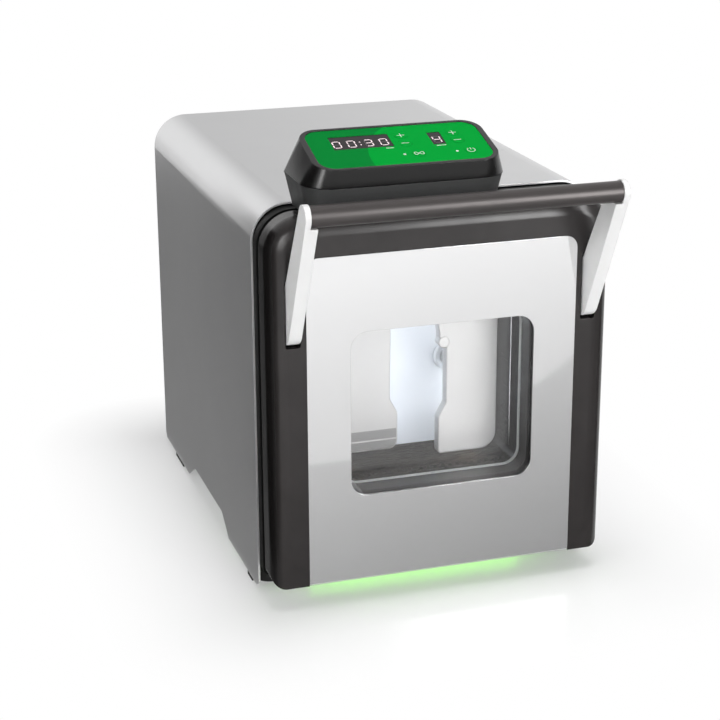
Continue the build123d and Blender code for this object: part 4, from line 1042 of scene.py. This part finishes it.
def lamp(name, place, target, size, power):
    """A soft rectangular lamp that no camera sees."""
    light = bpy.data.lights.new(name, "AREA")
    light.shape = "RECTANGLE"
    light.size, light.size_y = size
    light.energy = power
    piece = bpy.data.objects.new(name, light)
    bpy.context.scene.collection.objects.link(piece)
    piece.location = place
    piece.rotation_euler = (Vector(target) - Vector(place)).to_track_quat("-Z", "Y").to_euler()
    piece.visible_camera = False
    return piece


class PADDLE_OT_stage(Dresser, bpy.types.Operator):
    """Set up the floor, the lamps, the reflector cards and the camera"""
    bl_idname = "paddle_blender.stage"
    bl_label = "Stage"

    def execute(self, context):
        looks = context.scene.stage_looks
        self.world(context.scene)
        reach = 30.0
        staged("floor", [(-reach, -reach, 0), (reach, -reach, 0), (reach, reach, 0), (-reach, reach, 0)],
               floor_finish(looks))
        self.cards(looks)
        self.lamps()
        self.camera(context.scene, looks)
        context.scene.view_settings.view_transform = "Standard"
        return {"FINISHED"}

    def world(self, scene):
        """Plain white for the eye, dimmer before the machine for its gloss, and a low ambient light."""
        scene.world = bpy.data.worlds.new("studio")
        scene.world.use_nodes = True
        tree = scene.world.node_tree
        tree.nodes.clear()
        output = tree.nodes.new("ShaderNodeOutputWorld")
        path = tree.nodes.new("ShaderNodeLightPath").outputs
        heading = tree.nodes.new("ShaderNodeSeparateXYZ")
        tree.links.new(tree.nodes.new("ShaderNodeTexCoord").outputs["Generated"], heading.inputs[0])
        behind = self.graded(tree, heading.outputs["X"], (-0.15, 0.2), (1.28, 0.71))
        beside = self.graded(tree, heading.outputs["X"], (0.2, 0.4), (0.0, 0.33))
        rear = tree.nodes.new("ShaderNodeMath")
        tree.links.new(behind, rear.inputs[0])
        tree.links.new(beside, rear.inputs[1])
        whole = self.graded(tree, heading.outputs["Y"], (-0.6, 0.6), (0.35, rear.outputs[0]))
        shader = self.background(tree, 0.26)
        for rays, strength in ((("Is Glossy Ray",), whole),
                               (("Is Camera Ray", "Is Transmission Ray"), 1.0)):
            for ray in rays:
                mixed = tree.nodes.new("ShaderNodeMixShader")
                tree.links.new(path[ray], mixed.inputs[0])
                tree.links.new(shader, mixed.inputs[1])
                tree.links.new(self.background(tree, strength), mixed.inputs[2])
                shader = mixed.outputs[0]
        tree.links.new(shader, output.inputs["Surface"])

    def graded(self, tree, value, reach, ends):
        """A strength that goes from one end to the other over this reach."""
        node = tree.nodes.new("ShaderNodeMapRange")
        names = ("Value", "From Min", "From Max", "To Min", "To Max")
        for name, entry in zip(names, (value, *reach, *ends)):
            if isinstance(entry, float):
                node.inputs[name].default_value = entry
            else:
                tree.links.new(entry, node.inputs[name])
        return node.outputs["Result"]

    def background(self, tree, strength):
        light = tree.nodes.new("ShaderNodeBackground")
        light.inputs["Color"].default_value = (1.0, 1.0, 1.0, 1.0)
        if isinstance(strength, float):
            light.inputs["Strength"].default_value = strength
        else:
            tree.links.new(strength, light.inputs["Strength"])
        return light.outputs[0]

    def cards(self, looks):
        edge = sweep_on_floor(looks.eye)
        near_y = FACE_Y - 12 * MM
        near = [(p.x, p.y, CARD_HEIGHT) for p in edge]
        near += [(1.6, edge[-1].y - 0.45, CARD_HEIGHT), (1.6, near_y, CARD_HEIGHT), (-0.9, near_y, CARD_HEIGHT),
                 (-0.9, edge[0].y, CARD_HEIGHT)]
        card("reflector_near", near, card_finish("reflector_near", (-0.47, -0.93, 0), (0.0, 0.6), 0.10, 0.70))
        low = CARD_HEIGHT / 2
        far = [(-1.6, -1.9, low), (2.2, -1.9, low), (2.2, near_y, low), (-1.6, near_y, low)]
        card("reflector_far", far, card_finish("reflector_far", (-0.336, -0.698, 0), (0.0, 0.62), 0.374, 0.99))
        edge = -CASING_HALF - 2 * MM
        flag = [(-2.2, -0.35, low), (edge, -0.35, low), (edge, 1.5, low), (-2.2, 1.5, low)]
        card("flag_left", flag, card_finish("flag_left", (-1, 0, 0), (0.13, 0.42), 0.20, 0.08))
        black = card_finish("flag_black", (1, 0, 0), (0.0, 1.0), 0.015, 0.015)
        steps = ((-0.3, 0.0), (0.095, 0.0), (0.095, 0.35), (-0.19, 0.35), (-0.19, 0.29), (-0.3, 0.29))
        card("flag_door", [(-0.2, y, z) for y, z in steps], black)

    def lamps(self):
        middle = (0.0, -0.02, 0.16)
        lamp("overhead", (0.1, -0.2, 1.7), middle, (0.8, 0.6), 14.0).visible_glossy = False
        lamp("front", (0.2, -1.75, 0.6), middle, (1.2, 0.8), 15.5).visible_glossy = False
        lamp("left_fill", (-1.6, -0.5, 0.7), middle, (1.0, 1.0), 9.0).visible_glossy = False
        for name, place, size, power in (("right_box", (0.85, -1.75, 0.6), (0.6, 1.0), 22.0),
                                         ("left_box", (-0.7, -1.6, 0.6), (0.55, 0.7), 8.0),
                                         ("left_strip", (-0.95, -0.72, 0.17), (0.3, 0.32), 3.0)):
            lamp(name, place, (0.0, -0.18, 0.28), size, power).visible_diffuse = False
        behind = FACE_Y + 80 * MM
        low, high = CHAMBER_LOW, CHAMBER_TOP
        strips = [lamp("chamber_top", (0.0, behind, high - 2 * MM), (0.0, behind + 5 * MM, low), (0.12, 0.01), 0.035)]
        for name, side in (("chamber_left", -1), ("chamber_right", 1)):
            at = side * 60 * MM
            rise = (low + high) / 2 - 12 * MM
            strips.append(lamp(name, (at, behind, rise), (0.0, behind + 25 * MM, rise), (0.012, 0.12), 0.085))
        for strip in strips:
            strip.visible_glossy = False

    def camera(self, scene, looks):
        yaw, pitch, roll = looks.yaw, looks.pitch, looks.roll
        ahead = Vector((math.sin(yaw) * math.cos(pitch), math.cos(yaw) * math.cos(pitch), -math.sin(pitch)))
        level = Vector((math.cos(yaw), -math.sin(yaw), 0))
        upright = level.cross(ahead)
        right = math.cos(roll) * level + math.sin(roll) * upright
        up = -math.sin(roll) * level + math.cos(roll) * upright
        data = bpy.data.cameras.new("camera")
        data.sensor_width = 36.0
        data.lens = looks.lens
        data.clip_start, data.clip_end = 0.05, 100.0
        camera = bpy.data.objects.new("camera", data)
        scene.collection.objects.link(camera)
        camera.matrix_world = Matrix.Translation(Vector(looks.eye)) @ Matrix((right, up, -ahead)).transposed().to_4x4()
        scene.camera = camera


OPERATORS = (PADDLE_OT_casing, PADDLE_OT_door, PADDLE_OT_handle, PADDLE_OT_chamber, PADDLE_OT_drive,
             PADDLE_OT_control, PADDLE_OT_symbols, PADDLE_OT_digits, PADDLE_OT_glow, PADDLE_OT_stage)


class PADDLE_PT_panel(bpy.types.Panel):
    """Lists the steps that dress the machine, with the colours that each one reads"""
    bl_label = "Paddle Blender"
    bl_idname = "PADDLE_PT_panel"
    bl_space_type = "VIEW_3D"
    bl_region_type = "UI"
    bl_category = "Paddle Blender"

    def draw(self, context):
        layout = self.layout
        for operator in OPERATORS:
            layout.operator(operator.bl_idname)
        for name, group in SETTINGS.items():
            box = layout.box()
            box.label(text=name.replace("_", " "))
            for item in group.__annotations__:
                box.prop(getattr(context.scene, name), item)


CLASSES = (*SETTINGS.values(), *OPERATORS, PADDLE_PT_panel)


def register():
    for item in CLASSES:
        bpy.utils.register_class(item)
    for name, group in SETTINGS.items():
        setattr(bpy.types.Scene, name, PointerProperty(type=group))


def unregister():
    for name in SETTINGS:
        delattr(bpy.types.Scene, name)
    for item in reversed(CLASSES):
        bpy.utils.unregister_class(item)


def main():
    register()
    for operator in OPERATORS:
        family, name = operator.bl_idname.split(".")
        getattr(getattr(bpy.ops, family), name)()


if __name__ == "__main__":
    main()
